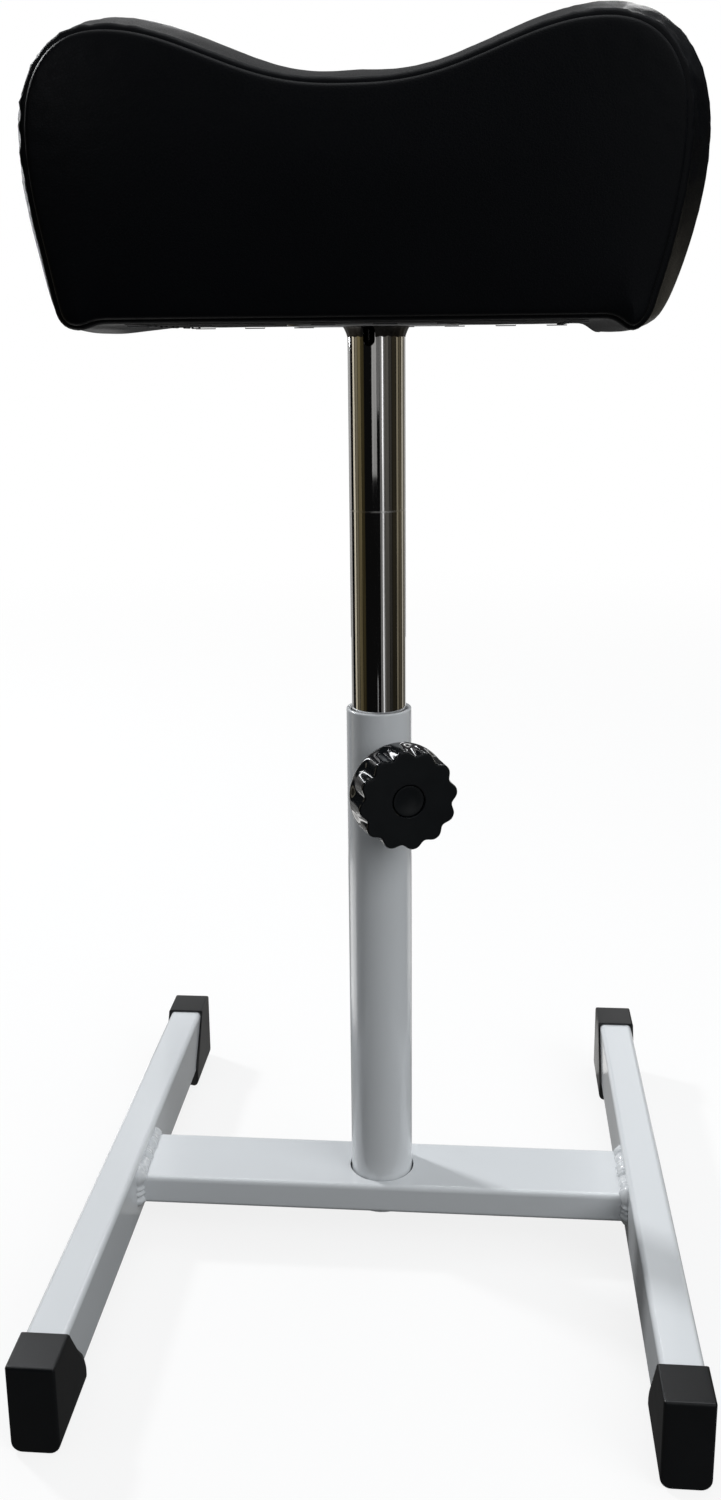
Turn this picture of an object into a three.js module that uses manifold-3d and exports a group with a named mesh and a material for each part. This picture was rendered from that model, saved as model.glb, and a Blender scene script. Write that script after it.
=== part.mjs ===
// Footrest for foot care: a welded H base, a post with a clamp knob, and a saddle cushion
// on a sliding column. Millimetres, +Z up, +Y to the back, origin on the floor under the post.
import * as THREE from 'three';
import Module from 'manifold-3d';
import { mergeVertices } from 'three/addons/utils/BufferGeometryUtils.js';

const wasm = await Module();
wasm.setup();

// Clearances
const seatGap = 0.3;          // between a piece and what it is seated on or welded to
const slipGap = 0.2;          // on each side of a piece that is pushed over or through another
const slideGap = 0.5;         // between the column and the bore of the post
const overrun = 2;            // how far a cut runs past what it cuts

// Base runners
const runnerSpacing = 258;    // centre to centre
const runnerLength = 320;
const runnerWidth = 18;
const runnerHeight = 30;
const tubeCorner = 2.5;       // outer corner radius of the rectangular tubes
const tubeWall = 1.5;

// Slip-on feet
const capWall = 1;
const capEndWall = 2.6;
const capFoot = 8.8;          // thickness under the runner
const capTopReach = 21;       // length of the top, from the end face to the rim
const capRimSlant = 19.4;     // how much further the rim reaches at the bottom
const capBottomCorner = 4.5;
const capTopCorner = 0.8;
const capToeRound = 2;

// Crossbar and welds
const crossbarHeight = 15;
const crossbarDrop = 6;       // its top below the top of the runners
const crossbarEdge = 5;       // metal in front of and behind the post
const weldLeg = 4;
const weldPitch = 5;          // length of one lump of the bead
const weldLumpShare = 0.22;
const weldBellyShare = 0.62;
const lumpSteps = 4;

// Post and column
const columnDiameter = 25;
const columnWall = 1.5;
const columnLength = 260;
const postWall = 2;
const postLength = 255;
const postFootReach = 3;      // below the underside of the crossbar
const postWeldLeg = 2.5;
const notchWidth = 5.2;
const notchDepth = 8;
const notchTurn = THREE.MathUtils.degToRad(-11);
const columnWeldRun = 2.8;
const columnWeldDrop = 5.5;
const columnWeldBellyShare = 0.33;
const plugFlange = 3;
const plugInsert = 14;
const plugBore = 6;
const plugRunGap = 0.25;      // between the flange of the plug and the bore of the post

// Clamp: distances run outwards from the axis of the post
const clampBelowTop = 32.2;
const clampTurn = THREE.MathUtils.degToRad(21.5);
const studDiameter = 9.6;
const tipLength = 3;
const tipDiameter = 9;
const tipChamfer = 0.6;
const nutAcross = 17;
const nutHeight = 8;
const nutWeldWidth = 1.6;
const nutWeldHeight = 1.5;
const knobStandOff = 1.3;     // thread that shows between the nut and the hub
const hubDiameter = 18;
const hubLength = 2.5;
const knobDiameter = 46.4;
const knobFaceDiameter = 45.8;
const knobThickness = 16.2;
const knobEdge = 1;
const knobBackRound = 2.4;
const knobEndWall = 4;        // between the end of the stud and the recess in the face
const knobLobes = 12;
const knobLobeTurn = THREE.MathUtils.degToRad(6.3);
const fluteDepth = 2.3;
const fluteShape = 1.3;
const fluteFadeShare = 0.5;   // depth of a flute half way to the back, where it runs out
const lobeSteps = 8;
const recessDiameter = 15;
const recessDepth = 2.4;
const knobCapThickness = 1.9;
const knobCapDish = 1;
const knobCapDishShare = 0.75;

// Plate under the cushion
const plateSide = 70;
const plateThickness = 2.5;
const plateCorner = 6;
const screwSpacing = 52;
const screwDiameter = 4;
const screwHeadDiameter = 8;
const screwHeadHeight = 2.2;
const screwLength = 12;

// Cushion: heights run up from its flat underside
const cushionHeight = 441;    // of that underside above the floor
const cushionShift = -3.5;    // sideways, off the axis of the column
const seamHalfDepth = 80;
const dipHeight = 84.6;
const lobeRise = 20.2;        // top of the lobes above the dip
const lobeOffset = 90.7;      // top of a lobe to the middle
const shoulderRun = 32;       // top of a lobe out to the widest point
const shoulderDrop = 38.8;
const sideTaper = 11;         // how far the side draws in from the widest point to the foot
const footHeight = 5;
const rollDrop = 3;           // padding below the underside at the ends
const rollInset = 9;          // lowest point of that padding, in from the side
const rollRun = 11;
const crown = 15.5;           // swell of the sides at half depth
const topCrownShare = 0.87;   // of that swell, on the lobes and in the dip
const slopeCrownShare = 0.79;
const footCrownShare = 0.7;
const panelSwell = 4;         // swell of the front and back panels
const coverThickness = 1.2;
const boardThickness = 12;
const boardEndPad = 16;       // foam past the ends of the board
const hemLength = 18;
const returnInset = 12;       // edge of the band under the board, inside where the roll starts
const dustInset = 3;
const dustDepthInset = 8;
const dustThickness = 0.6;
const dustCorner = 4;
const saddleShape = 1.35;
const shoulderShape = 2.35;
const footCrownShape = 3;
const sideShape = 1.7;
const panelCentreShare = 0.45;
const panelShares = [1, 0.8, 0.45, 0];
const rollSteps = 2;
const turnSteps = 3;
const sideSteps = 4;
const shoulderSteps = 5;
const saddleSteps = 7;
const depthSteps = 6;

// Facets
const roundSegments = 48;
const smallSegments = 24;
const cornerSegments = 4;

// Worked out from the sizes above
const columnRadius = columnDiameter / 2;
const postBoreRadius = columnRadius + slideGap;
const postRadius = postBoreRadius + postWall;
const capOuterWidth = runnerWidth + 2 * (slipGap + capWall);
const runnerBottom = capFoot + slipGap;
const runnerTop = runnerBottom + runnerHeight;
const capTop = runnerTop + slipGap + capWall;
const capEnd = runnerLength / 2 + seatGap + capEndWall;
const crossbarTop = runnerTop - crossbarDrop;
const crossbarBottom = crossbarTop - crossbarHeight;
const crossbarDepth = 2 * (postRadius + crossbarEdge);
const crossbarEnd = (runnerSpacing - runnerWidth) / 2 - seatGap;
const postBottom = crossbarBottom - postFootReach;
const postTop = postBottom + postLength;
const clampHeight = postTop - clampBelowTop;
const boardBottom = cushionHeight + coverThickness + seatGap;
const plateTop = boardBottom - seatGap;
const plateBottom = plateTop - plateThickness;
const columnTop = plateBottom - seatGap;
const columnBottom = columnTop - columnLength;

const coat = new THREE.Color(0.86, 0.88, 0.9);
const paint = { color: coat, roughness: 0.35, metalness: 0 };
const chrome = { color: new THREE.Color(0.8, 0.8, 0.8), roughness: 0.08, metalness: 1 };
const steel = { color: new THREE.Color(0.6, 0.6, 0.62), roughness: 0.35, metalness: 1 };
const blackPlastic = { color: new THREE.Color(0.02, 0.02, 0.022), roughness: 0.4, metalness: 0 };
const glossPlastic = { color: new THREE.Color(0.012, 0.012, 0.014), roughness: 0.15, metalness: 0 };
const nylon = { color: new THREE.Color(0.75, 0.74, 0.7), roughness: 0.5, metalness: 0 };
const leatherette = { color: new THREE.Color(0.012, 0.012, 0.014), roughness: 0.45, metalness: 0 };
const fleece = { color: new THREE.Color(0.02, 0.02, 0.02), roughness: 0.95, metalness: 0 };
const plywood = { color: new THREE.Color(0.62, 0.45, 0.27), roughness: 0.8, metalness: 0 };
const foam = { color: new THREE.Color(0.85, 0.8, 0.6), roughness: 0.95, metalness: 0 };

// Only positions, shared vertices, no flat triangles, and the faces pointing out
function closed(geometry) {
  geometry.deleteAttribute('normal');
  geometry.deleteAttribute('uv');
  const merged = mergeVertices(geometry);
  const index = merged.index.array;
  const point = i => new THREE.Vector3().fromBufferAttribute(merged.attributes.position, i);
  const kept = [];
  let volume = 0;
  for (let i = 0; i < index.length; i += 3) {
    const [a, b, c] = index.slice(i, i + 3);
    if (a === b || b === c || c === a) continue;
    kept.push(a, b, c);
    volume += point(a).dot(point(b).cross(point(c)));
  }
  merged.setIndex(volume > 0 ? kept : kept.reverse());
  return merged;
}

function toSolid(geometry) {
  const tidy = closed(geometry);
  return new wasm.Manifold(new wasm.Mesh({
    numProp: 3,
    vertProperties: new Float32Array(tidy.attributes.position.array),
    triVerts: new Uint32Array(tidy.index.array),
  }));
}

function toGeometry(solid) {
  const mesh = solid.getMesh();
  const geometry = new THREE.BufferGeometry();
  geometry.setAttribute('position', new THREE.BufferAttribute(mesh.vertProperties.slice(), 3));
  geometry.setIndex(Array.from(mesh.triVerts));
  return geometry;
}

function cut(base, ...tools) {
  return toGeometry(tools.reduce((left, tool) => left.subtract(toSolid(tool)), toSolid(base)));
}

function overlapOf(first, second) {
  return toGeometry(toSolid(first).intersect(toSolid(second)));
}

function joined(first, second) {
  return toGeometry(toSolid(first).add(toSolid(second)));
}

// An outline pushed along Z and centred; alongY keeps its x as X and its y as Z,
// alongX turns its x into Y and its y into Z
function alongZ(shape, length) {
  const settings = { depth: length, bevelEnabled: false, curveSegments: cornerSegments };
  return new THREE.ExtrudeGeometry(shape, settings).translate(0, 0, -length / 2);
}

function alongY(shape, length) {
  return alongZ(shape, length).rotateX(Math.PI / 2);
}

function alongX(shape, length) {
  return alongY(shape, length).rotateZ(Math.PI / 2);
}

// A profile of [radius, height] points turned about Z
function turned(points, segments) {
  const profile = points.map(([radius, height]) => new THREE.Vector2(radius, height));
  return new THREE.LatheGeometry(profile, segments).rotateX(Math.PI / 2);
}

function tubeProfile(outer, inner, low, high) {
  return [[inner, low], [outer, low], [outer, high], [inner, high], [inner, low]];
}

function rodProfile(radius, low, high) {
  return [[0, low], [radius, low], [radius, high], [0, high]];
}

function roundedRectangle(width, height, topRadius, bottomRadius = topRadius) {
  const right = width / 2;
  const top = height / 2;
  const shape = new THREE.Shape();
  shape.absarc(right - bottomRadius, bottomRadius - top, bottomRadius, -Math.PI / 2, 0);
  shape.absarc(right - topRadius, top - topRadius, topRadius, 0, Math.PI / 2);
  shape.absarc(topRadius - right, top - topRadius, topRadius, Math.PI / 2, Math.PI);
  shape.absarc(bottomRadius - right, bottomRadius - top, bottomRadius, Math.PI, 1.5 * Math.PI);
  shape.closePath();
  return shape;
}

function tubeSection(width, height) {
  const shape = roundedRectangle(width, height, tubeCorner);
  const bore = tubeCorner - tubeWall;
  shape.holes.push(roundedRectangle(width - 2 * tubeWall, height - 2 * tubeWall, bore));
  return shape;
}

function facesOf(points, index) {
  const geometry = new THREE.BufferGeometry();
  geometry.setAttribute('position', new THREE.Float32BufferAttribute(points.flat(2), 3));
  geometry.setIndex(index);
  return geometry;
}

// Closed rings of points joined into a skin; each ring lists the same number of [x, y, z] points
function ringSkin(rings, loop = false) {
  const count = rings[0].length;
  const index = [];
  const last = loop ? rings.length : rings.length - 1;
  for (let r = 0; r < last; r += 1) {
    const next = (r + 1) % rings.length;
    for (let i = 0; i < count; i += 1) {
      const j = (i + 1) % count;
      const [a, b, c, d] = [r * count + i, r * count + j, next * count + j, next * count + i];
      index.push(a, b, c, a, c, d);
    }
  }
  return facesOf(rings, index);
}

// Two layers of rows of points, joined all round their edges; both split their squares alike
function shell(outer, inner, loop) {
  const rows = outer.length;
  const columns = outer[0].length;
  const across = loop ? columns : columns - 1;
  const index = [];
  const at = (layer, row, column) => (layer * rows + row) * columns + column % columns;
  const square = (a, b, c, d) => index.push(a, b, c, a, c, d);
  for (let r = 0; r < rows - 1; r += 1) {
    for (let i = 0; i < across; i += 1) {
      square(at(0, r, i), at(0, r, i + 1), at(0, r + 1, i + 1), at(0, r + 1, i));
      square(at(1, r, i), at(1, r + 1, i), at(1, r + 1, i + 1), at(1, r, i + 1));
    }
    if (!loop) {
      square(at(0, r, 0), at(0, r + 1, 0), at(1, r + 1, 0), at(1, r, 0));
      square(at(0, r + 1, across), at(0, r, across), at(1, r, across), at(1, r + 1, across));
    }
  }
  for (let i = 0; i < across; i += 1) {
    square(at(0, 0, i + 1), at(0, 0, i), at(1, 0, i), at(1, 0, i + 1));
    square(at(0, rows - 1, i), at(0, rows - 1, i + 1), at(1, rows - 1, i + 1), at(1, rows - 1, i));
  }
  return facesOf([...outer, ...inner], index);
}

const footrest = new THREE.Group();

function add(parent, name, geometry, look) {
  const mesh = new THREE.Mesh(closed(geometry), new THREE.MeshStandardMaterial(look));
  mesh.name = name;
  parent.add(mesh);
  return mesh;
}

// Runners, crossbar and their weld beads
function addRunner(name, side) {
  const runner = add(footrest, name, alongY(tubeSection(runnerWidth, runnerHeight), runnerLength), paint);
  runner.position.set(side * runnerSpacing / 2, 0, (runnerBottom + runnerTop) / 2);
}

function addCrossbar() {
  const bar = alongX(tubeSection(crossbarDepth, crossbarHeight), 2 * crossbarEnd);
  const hole = rodProfile(postRadius + slipGap, -crossbarHeight, crossbarHeight);
  const crossbar = add(footrest, 'crossbar', cut(bar, turned(hole, roundSegments)), paint);
  crossbar.position.z = (crossbarTop + crossbarBottom) / 2;
}

// A fillet that runs round the end of the crossbar and swells into lumps
function addCrossbarWeld(name, side) {
  const outline = roundedRectangle(crossbarDepth, crossbarHeight, tubeCorner);
  const lumps = Math.round(outline.getLength() / weldPitch);
  const spots = outline.getSpacedPoints(lumpSteps * lumps).slice(0, -1);
  const rings = spots.map((spot, i) => {
    const ahead = spots[(i + 1) % spots.length];
    const behind = spots[(i + spots.length - 1) % spots.length];
    const out = ahead.clone().sub(behind).normalize();
    const dent = (1 - Math.cos(2 * Math.PI * i / lumpSteps)) / 2;
    const leg = weldLeg * (1 - weldLumpShare * dent);
    const section = [[0, 0], [leg, 0], [leg * weldBellyShare, leg * weldBellyShare], [0, leg]];
    return section.map(([rise, run]) => [
      side * ((runnerSpacing - runnerWidth) / 2 - seatGap - run),
      spot.x + out.y * (rise + seatGap),
      spot.y - out.x * (rise + seatGap),
    ]);
  });
  add(footrest, name, ringSkin(rings, true), paint).position.z = (crossbarTop + crossbarBottom) / 2;
}

// Slip-on foot: a box with a round-cornered sole, cut to the slanted rim and hollowed for the tube
function addCap(name, sideX, sideY) {
  const reach = capTopReach + capRimSlant;
  const side = new THREE.Shape();
  side.moveTo(0, capTop);
  side.lineTo(0, capToeRound);
  side.quadraticCurveTo(0, 0, capToeRound, 0);
  side.lineTo(reach - capToeRound, 0);
  side.quadraticCurveTo(reach, 0, reach, capToeRound);
  side.lineTo(reach, capFoot);
  side.lineTo(capTopReach, capTop);
  const front = roundedRectangle(capOuterWidth, capTop, capTopCorner, capBottomCorner);
  const length = 2 * (reach + overrun);
  const block = alongY(front, length).translate(0, 0, capTop / 2);
  const pocketWidth = runnerWidth + 2 * slipGap;
  const pocketHeight = runnerHeight + 2 * slipGap;
  const pocket = alongY(roundedRectangle(pocketWidth, pocketHeight, tubeCorner + slipGap), length);
  pocket.translate(0, length / 2 + capEndWall, (runnerBottom + runnerTop) / 2);
  const profile = alongX(side, capOuterWidth + 2 * overrun);
  const cap = add(footrest, name, cut(overlapOf(block, profile), pocket), blackPlastic);
  cap.position.set(sideX * runnerSpacing / 2, sideY * capEnd, 0);
  cap.rotation.z = sideY > 0 ? Math.PI : 0;
}

// Post, column and what is welded to them
const clampFrame = new THREE.Matrix4().makeBasis(
  new THREE.Vector3(Math.cos(clampTurn), Math.sin(clampTurn), 0),
  new THREE.Vector3(0, 0, 1),
  new THREE.Vector3(Math.sin(clampTurn), -Math.cos(clampTurn), 0),
).setPosition(0, 0, clampHeight);

function addPost() {
  const tube = turned(tubeProfile(postRadius, postBoreRadius, postBottom, postTop), roundSegments);
  const hole = turned(rodProfile(studDiameter / 2 + slideGap, 0, postRadius + overrun), smallSegments);
  add(footrest, 'post', cut(tube, hole.applyMatrix4(clampFrame)), paint);
  const inner = postRadius + seatGap;
  const top = crossbarBottom - seatGap;
  const belly = postWeldLeg * weldBellyShare;
  const bead = [[inner, top], [inner, top - postWeldLeg], [inner + belly, top - belly],
    [inner + postWeldLeg, top], [inner, top]];
  add(footrest, 'post_weld', turned(bead, roundSegments), paint);
}

// Round-bottomed notch through the front wall at the top of the column
function notchTool(width) {
  const shape = new THREE.Shape();
  shape.absarc(0, width / 2 - notchDepth, width / 2, Math.PI, 2 * Math.PI);
  shape.lineTo(width / 2, overrun);
  shape.lineTo(-width / 2, overrun);
  const length = columnRadius + columnWeldRun + overrun;
  return alongY(shape, length).translate(0, -length / 2, columnTop).rotateZ(notchTurn);
}

function addColumn() {
  const bore = columnRadius - columnWall;
  const tube = turned(tubeProfile(columnRadius, bore, columnBottom, columnTop), roundSegments);
  add(footrest, 'column', cut(tube, notchTool(notchWidth)), chrome);
  const inner = columnRadius + seatGap;
  const bead = [[inner, columnTop], [inner, columnTop - columnWeldDrop],
    [inner + columnWeldRun * columnWeldBellyShare, columnTop - columnWeldDrop * columnWeldBellyShare],
    [inner + columnWeldRun, columnTop], [inner, columnTop]];
  const ring = turned(bead, roundSegments);
  add(footrest, 'column_weld', cut(ring, notchTool(notchWidth + 2 * slipGap)), chrome);
  const insert = bore - seatGap;
  const flange = postBoreRadius - plugRunGap;
  const seat = columnBottom - seatGap;
  const plug = [[plugBore, seat - plugFlange], [flange, seat - plugFlange], [flange, seat],
    [insert, seat], [insert, seat + plugInsert], [plugBore, seat + plugInsert],
    [plugBore, seat - plugFlange]];
  add(footrest, 'column_plug', turned(plug, roundSegments), blackPlastic);
}

// Clamp: everything here is built along the screw, z being the distance from the post's axis
const clamp = new THREE.Group();
clamp.applyMatrix4(clampFrame);
footrest.add(clamp);
const tipStart = columnRadius + seatGap;
const studStart = tipStart + tipLength + seatGap;
const nutStart = postRadius + seatGap;
const hubStart = nutStart + nutHeight + knobStandOff;
const knobBack = hubStart + hubLength;
const knobFace = knobBack + knobThickness;
const recessFloor = knobFace - recessDepth;
const studEnd = recessFloor - knobEndWall;

function addNut() {
  const corner = nutAcross / Math.sqrt(3);
  const outline = new THREE.Shape();
  for (let i = 0; i < 6; i += 1) {
    const turn = i * Math.PI / 3;
    if (i === 0) outline.moveTo(corner, 0);
    else outline.lineTo(corner * Math.cos(turn), corner * Math.sin(turn));
  }
  const bore = new THREE.Path();
  bore.absarc(0, 0, studDiameter / 2 + slideGap, 0, 2 * Math.PI, true);
  outline.holes.push(bore);
  const settings = { depth: nutHeight, bevelEnabled: false, curveSegments: smallSegments };
  add(clamp, 'clamp_nut', new THREE.ExtrudeGeometry(outline, settings), paint).position.z = nutStart;
  const inner = corner + seatGap;
  const outer = inner + nutWeldWidth;
  const bead = tubeProfile(outer, inner, 0, nutStart + nutWeldHeight);
  const clear = postRadius + seatGap;
  const body = new THREE.CylinderGeometry(clear, clear, 2 * (outer + overrun), roundSegments);
  add(clamp, 'nut_weld', cut(turned(bead, roundSegments), body), paint);
}

function addKnob() {
  const studRadius = studDiameter / 2;
  const tipRadius = tipDiameter / 2;
  const tipEnd = tipStart + tipLength;
  const tip = [[0, tipStart], [tipRadius - tipChamfer, tipStart], [tipRadius, tipStart + tipChamfer],
    [tipRadius, tipEnd], [0, tipEnd]];
  add(clamp, 'clamp_tip', turned(tip, smallSegments), nylon);
  add(clamp, 'clamp_stud', turned(rodProfile(studRadius, studStart, studEnd), smallSegments), steel);
  const back = knobDiameter / 2;
  const face = knobFaceDiameter / 2;
  const bore = studRadius + seatGap;
  const hub = hubDiameter / 2;
  const recess = recessDiameter / 2;
  const middle = (knobBack + knobFace) / 2;
  // distance, radius, and how much of the flute is cut there
  const stations = [
    [studEnd + seatGap, 0, 0], [studEnd + seatGap, bore, 0], [hubStart, bore, 0], [hubStart, hub, 0],
    [knobBack, hub, 0], [knobBack, back - knobBackRound, 0], [knobBack + knobBackRound, back, 0],
    [middle, (back + face) / 2, fluteFadeShare], [knobFace - knobEdge, face, 1],
    [knobFace, face - knobEdge, 1],
    [knobFace, recess, 0], [recessFloor, recess, 0], [recessFloor, 0, 0]];
  const steps = lobeSteps * knobLobes;
  const rings = stations.map(([distance, radius, share]) => Array.from({ length: steps }, (_, i) => {
    const turn = knobLobeTurn + i * 2 * Math.PI / steps;
    const wave = (1 - Math.cos(i * 2 * Math.PI / lobeSteps)) / 2;
    const r = radius - share * fluteDepth * wave ** fluteShape;
    return [r * Math.cos(turn), r * Math.sin(turn), distance];
  }));
  add(clamp, 'knob_grip', ringSkin(rings), glossPlastic);
  const capRadius = recess - slipGap;
  const capSeat = recessFloor + seatGap;
  const capRim = capSeat + knobCapThickness;
  const dished = [[0, capSeat], [capRadius, capSeat], [capRadius, capRim],
    [capRadius / 2, capRim - knobCapDish * knobCapDishShare], [0, capRim - knobCapDish]];
  add(clamp, 'knob_cap', turned(dished, roundSegments), glossPlastic);
}

// Plate and screws under the cushion
const cornersXY = [[-1, -1], [1, -1], [1, 1], [-1, 1]];
const screwRadius = screwDiameter / 2;
const screwHeadRadius = screwHeadDiameter / 2;

function addPlate() {
  const blank = alongZ(roundedRectangle(plateSide, plateSide, plateCorner), plateThickness);
  blank.translate(0, 0, (plateTop + plateBottom) / 2);
  const sinks = cornersXY.map(([x, y]) => {
    const low = plateBottom - overrun;
    const seat = plateBottom + screwHeadHeight;
    const wide = screwHeadRadius + seatGap;
    const narrow = screwRadius + seatGap;
    const sink = [[0, low], [wide, low], [wide, plateBottom], [narrow, seat],
      [narrow, plateTop + overrun], [0, plateTop + overrun]];
    return turned(sink, smallSegments).translate(x * screwSpacing / 2, y * screwSpacing / 2, 0);
  });
  add(footrest, 'mount_plate', cut(blank, ...sinks), steel);
  cornersXY.forEach(([x, y], i) => {
    const tip = plateBottom + screwLength;
    const profile = [[0, plateBottom], [screwHeadRadius, plateBottom],
      [screwRadius, plateBottom + screwHeadHeight], [screwRadius, tip - screwRadius], [0, tip]];
    const screw = add(footrest, `plate_screw_${i + 1}`, turned(profile, smallSegments), steel);
    screw.position.set(x * screwSpacing / 2, y * screwSpacing / 2, 0);
  });
}

// Cushion
const cushion = new THREE.Group();
cushion.position.set(cushionShift, 0, cushionHeight);
footrest.add(cushion);
const lobeHeight = dipHeight + lobeRise;
const widestHalf = lobeOffset + shoulderRun;
const widestHeight = lobeHeight - shoulderDrop;
const footHalf = widestHalf - sideTaper;
const boardHalf = footHalf - boardEndPad;
const rollLow = footHalf - rollInset;
const rollStart = rollLow - rollRun;
const returnEdge = rollStart - returnInset;
const boardHalfDepth = seamHalfDepth - coverThickness - seatGap;

// Right half of the seam outline, from the middle of the underside round to the dip.
// The third value is how much of the crown that point takes.
function halfOutline() {
  const points = [[0, 0, 0], [returnEdge, 0, 0], [rollStart, 0, 0]];
  for (let i = 1; i <= rollSteps; i += 1) {
    const share = i / rollSteps;
    const sag = (1 - Math.cos(Math.PI * share)) / 2;
    points.push([rollStart + rollRun * share, -rollDrop * sag, 0]);
  }
  for (let i = 1; i <= turnSteps; i += 1) {
    const turn = i / turnSteps * Math.PI / 2;
    const height = footHeight - (footHeight + rollDrop) * Math.cos(turn);
    const crownShare = footCrownShare * Math.sin(turn) ** footCrownShape;
    points.push([rollLow + rollInset * Math.sin(turn), height, crownShare]);
  }
  for (let i = 1; i <= sideSteps; i += 1) {
    const share = 1 - i / sideSteps;
    const height = widestHeight - (widestHeight - footHeight) * share;
    const crownShare = 1 - (1 - footCrownShare) * share ** footCrownShape;
    points.push([widestHalf - sideTaper * share ** sideShape, height, crownShare]);
  }
  for (let i = 1; i <= shoulderSteps; i += 1) {
    const turn = i / shoulderSteps * Math.PI / 2;
    const run = Math.cos(turn) ** (2 / shoulderShape);
    const rise = Math.sin(turn) ** (2 / shoulderShape);
    const crownShare = 1 - (1 - topCrownShare) * Math.sin(turn) ** 2;
    points.push([lobeOffset + shoulderRun * run, widestHeight + shoulderDrop * rise, crownShare]);
  }
  for (let i = 1; i <= saddleSteps; i += 1) {
    const share = 1 - i / saddleSteps;
    const wave = ((1 - Math.cos(Math.PI * share)) / 2) ** saddleShape;
    const crownShare = topCrownShare - (topCrownShare - slopeCrownShare) * Math.sin(Math.PI * share);
    points.push([lobeOffset * share, dipHeight + lobeRise * wave, crownShare]);
  }
  return points;
}

// Whole outline, each point with its outward direction
const halfPoints = halfOutline();
const mirrored = halfPoints.slice(1, -1).reverse().map(([x, z, share]) => [-x, z, share]);
const seam = [...halfPoints, ...mirrored].map(([x, z, share], i, all) => {
  const [aheadX, aheadZ] = all[(i + 1) % all.length];
  const [behindX, behindZ] = all[(i + all.length - 1) % all.length];
  const along = new THREE.Vector2(aheadX - behindX, aheadZ - behindZ).normalize();
  return { x, z, share, outX: along.y, outZ: -along.x };
});

// Swell of the band at a depth: an arc through the two seams
function bandSwell(depth) {
  const radius = (seamHalfDepth ** 2 + crown ** 2) / (2 * crown);
  return Math.sqrt(radius ** 2 - depth ** 2) - (radius - crown);
}

// The seam outline at a depth, moved in by inset, and drawn in towards the middle by scale
function ringAt(spots, depth, inset, scale = 1) {
  const centre = panelCentreShare * lobeHeight;
  const swell = Math.abs(depth) < seamHalfDepth ? bandSwell(depth) : 0;
  return spots.map(({ x, z, share, outX, outZ }) => {
    const out = share * swell - inset;
    return [(x + outX * out) * scale, depth, centre + (z + outZ * out - centre) * scale];
  });
}

// Rings of a swollen face in order of depth; front is -1 and back is 1
function faceRings(facing, edgeDepth, inset) {
  const rings = panelShares.map(scale => {
    const depth = facing * (edgeDepth + panelSwell * (1 - scale ** 2));
    return ringAt(seam, depth, inset, scale);
  });
  return facing < 0 ? rings.reverse() : rings;
}

function bandDepths(halfDepth) {
  return Array.from({ length: depthSteps + 1 }, (_, i) => halfDepth * (2 * i / depthSteps - 1));
}

function addFoam() {
  const inset = coverThickness + seatGap;
  const edge = seamHalfDepth - inset;
  const band = bandDepths(edge).slice(1, -1).map(depth => ringAt(seam, depth, inset));
  const body = ringSkin([...faceRings(-1, edge, inset), ...band, ...faceRings(1, edge, inset)]);
  const height = boardBottom - cushionHeight + boardThickness + seatGap;
  const tall = height + rollDrop + overrun;
  const room = new THREE.BoxGeometry(2 * (boardHalf + seatGap), 2 * (seamHalfDepth + overrun), tall);
  add(cushion, 'foam_core', cut(body, room.translate(0, 0, height - tall / 2)), foam);
}

function addPanel(name, facing) {
  const outer = faceRings(facing, seamHalfDepth, 0);
  const inner = faceRings(facing, seamHalfDepth - coverThickness, 0);
  const panel = shell(outer, inner, true);
  const hemHalf = returnEdge - seatGap;
  const hem = new THREE.BoxGeometry(2 * hemHalf, hemLength, coverThickness);
  hem.translate(0, facing * (seamHalfDepth - hemLength / 2), coverThickness / 2);
  add(cushion, name, joined(panel, hem), leatherette);
}

// The boxing strip: over the top, down both sides and a little way under the board
function addBand() {
  const edge = seamHalfDepth - coverThickness - seatGap;
  const start = seam.findIndex(spot => spot.z === 0 && spot.x === returnEdge);
  const end = seam.findIndex(spot => spot.z === 0 && spot.x === -returnEdge);
  const strip = seam.slice(start, end + 1);
  const layer = inset => bandDepths(edge).map(depth => ringAt(strip, depth, inset));
  const band = shell(layer(0), layer(coverThickness), false);
  add(cushion, 'cover_band', band, leatherette);
}

function addBoardAndDustCover() {
  const middle = boardBottom + boardThickness / 2 - cushionHeight;
  const board = new THREE.BoxGeometry(2 * boardHalf, 2 * boardHalfDepth, boardThickness);
  const depth = plateBottom + screwLength + seatGap - cushionHeight;
  const pilots = cornersXY.map(([x, y]) => {
    const pilot = turned(rodProfile(screwRadius + seatGap, -overrun, depth), smallSegments);
    return pilot.translate(x * screwSpacing / 2 - cushionShift, y * screwSpacing / 2, 0);
  });
  add(cushion, 'base_board', cut(board.translate(0, 0, middle), ...pilots), plywood);
  const width = 2 * (rollStart - dustInset);
  const shape = roundedRectangle(width, 2 * (seamHalfDepth - dustDepthInset), dustCorner);
  const opening = 2 * slideGap + plateSide;
  const sheet = alongZ(shape, dustThickness);
  const window = alongZ(roundedRectangle(opening, opening, plateCorner), dustThickness + 2 * overrun);
  const dust = add(cushion, 'dust_cover', cut(sheet, window.translate(-cushionShift, 0, 0)), fleece);
  dust.position.z = -seatGap - dustThickness / 2;
}

addRunner('left_runner', -1);
addRunner('right_runner', 1);
addCrossbar();
addCrossbarWeld('left_weld', -1);
addCrossbarWeld('right_weld', 1);
addCap('cap_front_left', -1, -1);
addCap('cap_front_right', 1, -1);
addCap('cap_back_left', -1, 1);
addCap('cap_back_right', 1, 1);
addPost();
addColumn();
addNut();
addKnob();
addPlate();
addBoardAndDustCover();
addFoam();
addPanel('cover_front', -1);
addPanel('cover_back', 1);
addBand();

export default footrest;
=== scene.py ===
# Pedicure footrest: every piece is drawn in millimetres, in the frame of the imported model
import math
import bpy
import bmesh
from mathutils import Matrix, Vector, noise


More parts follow.
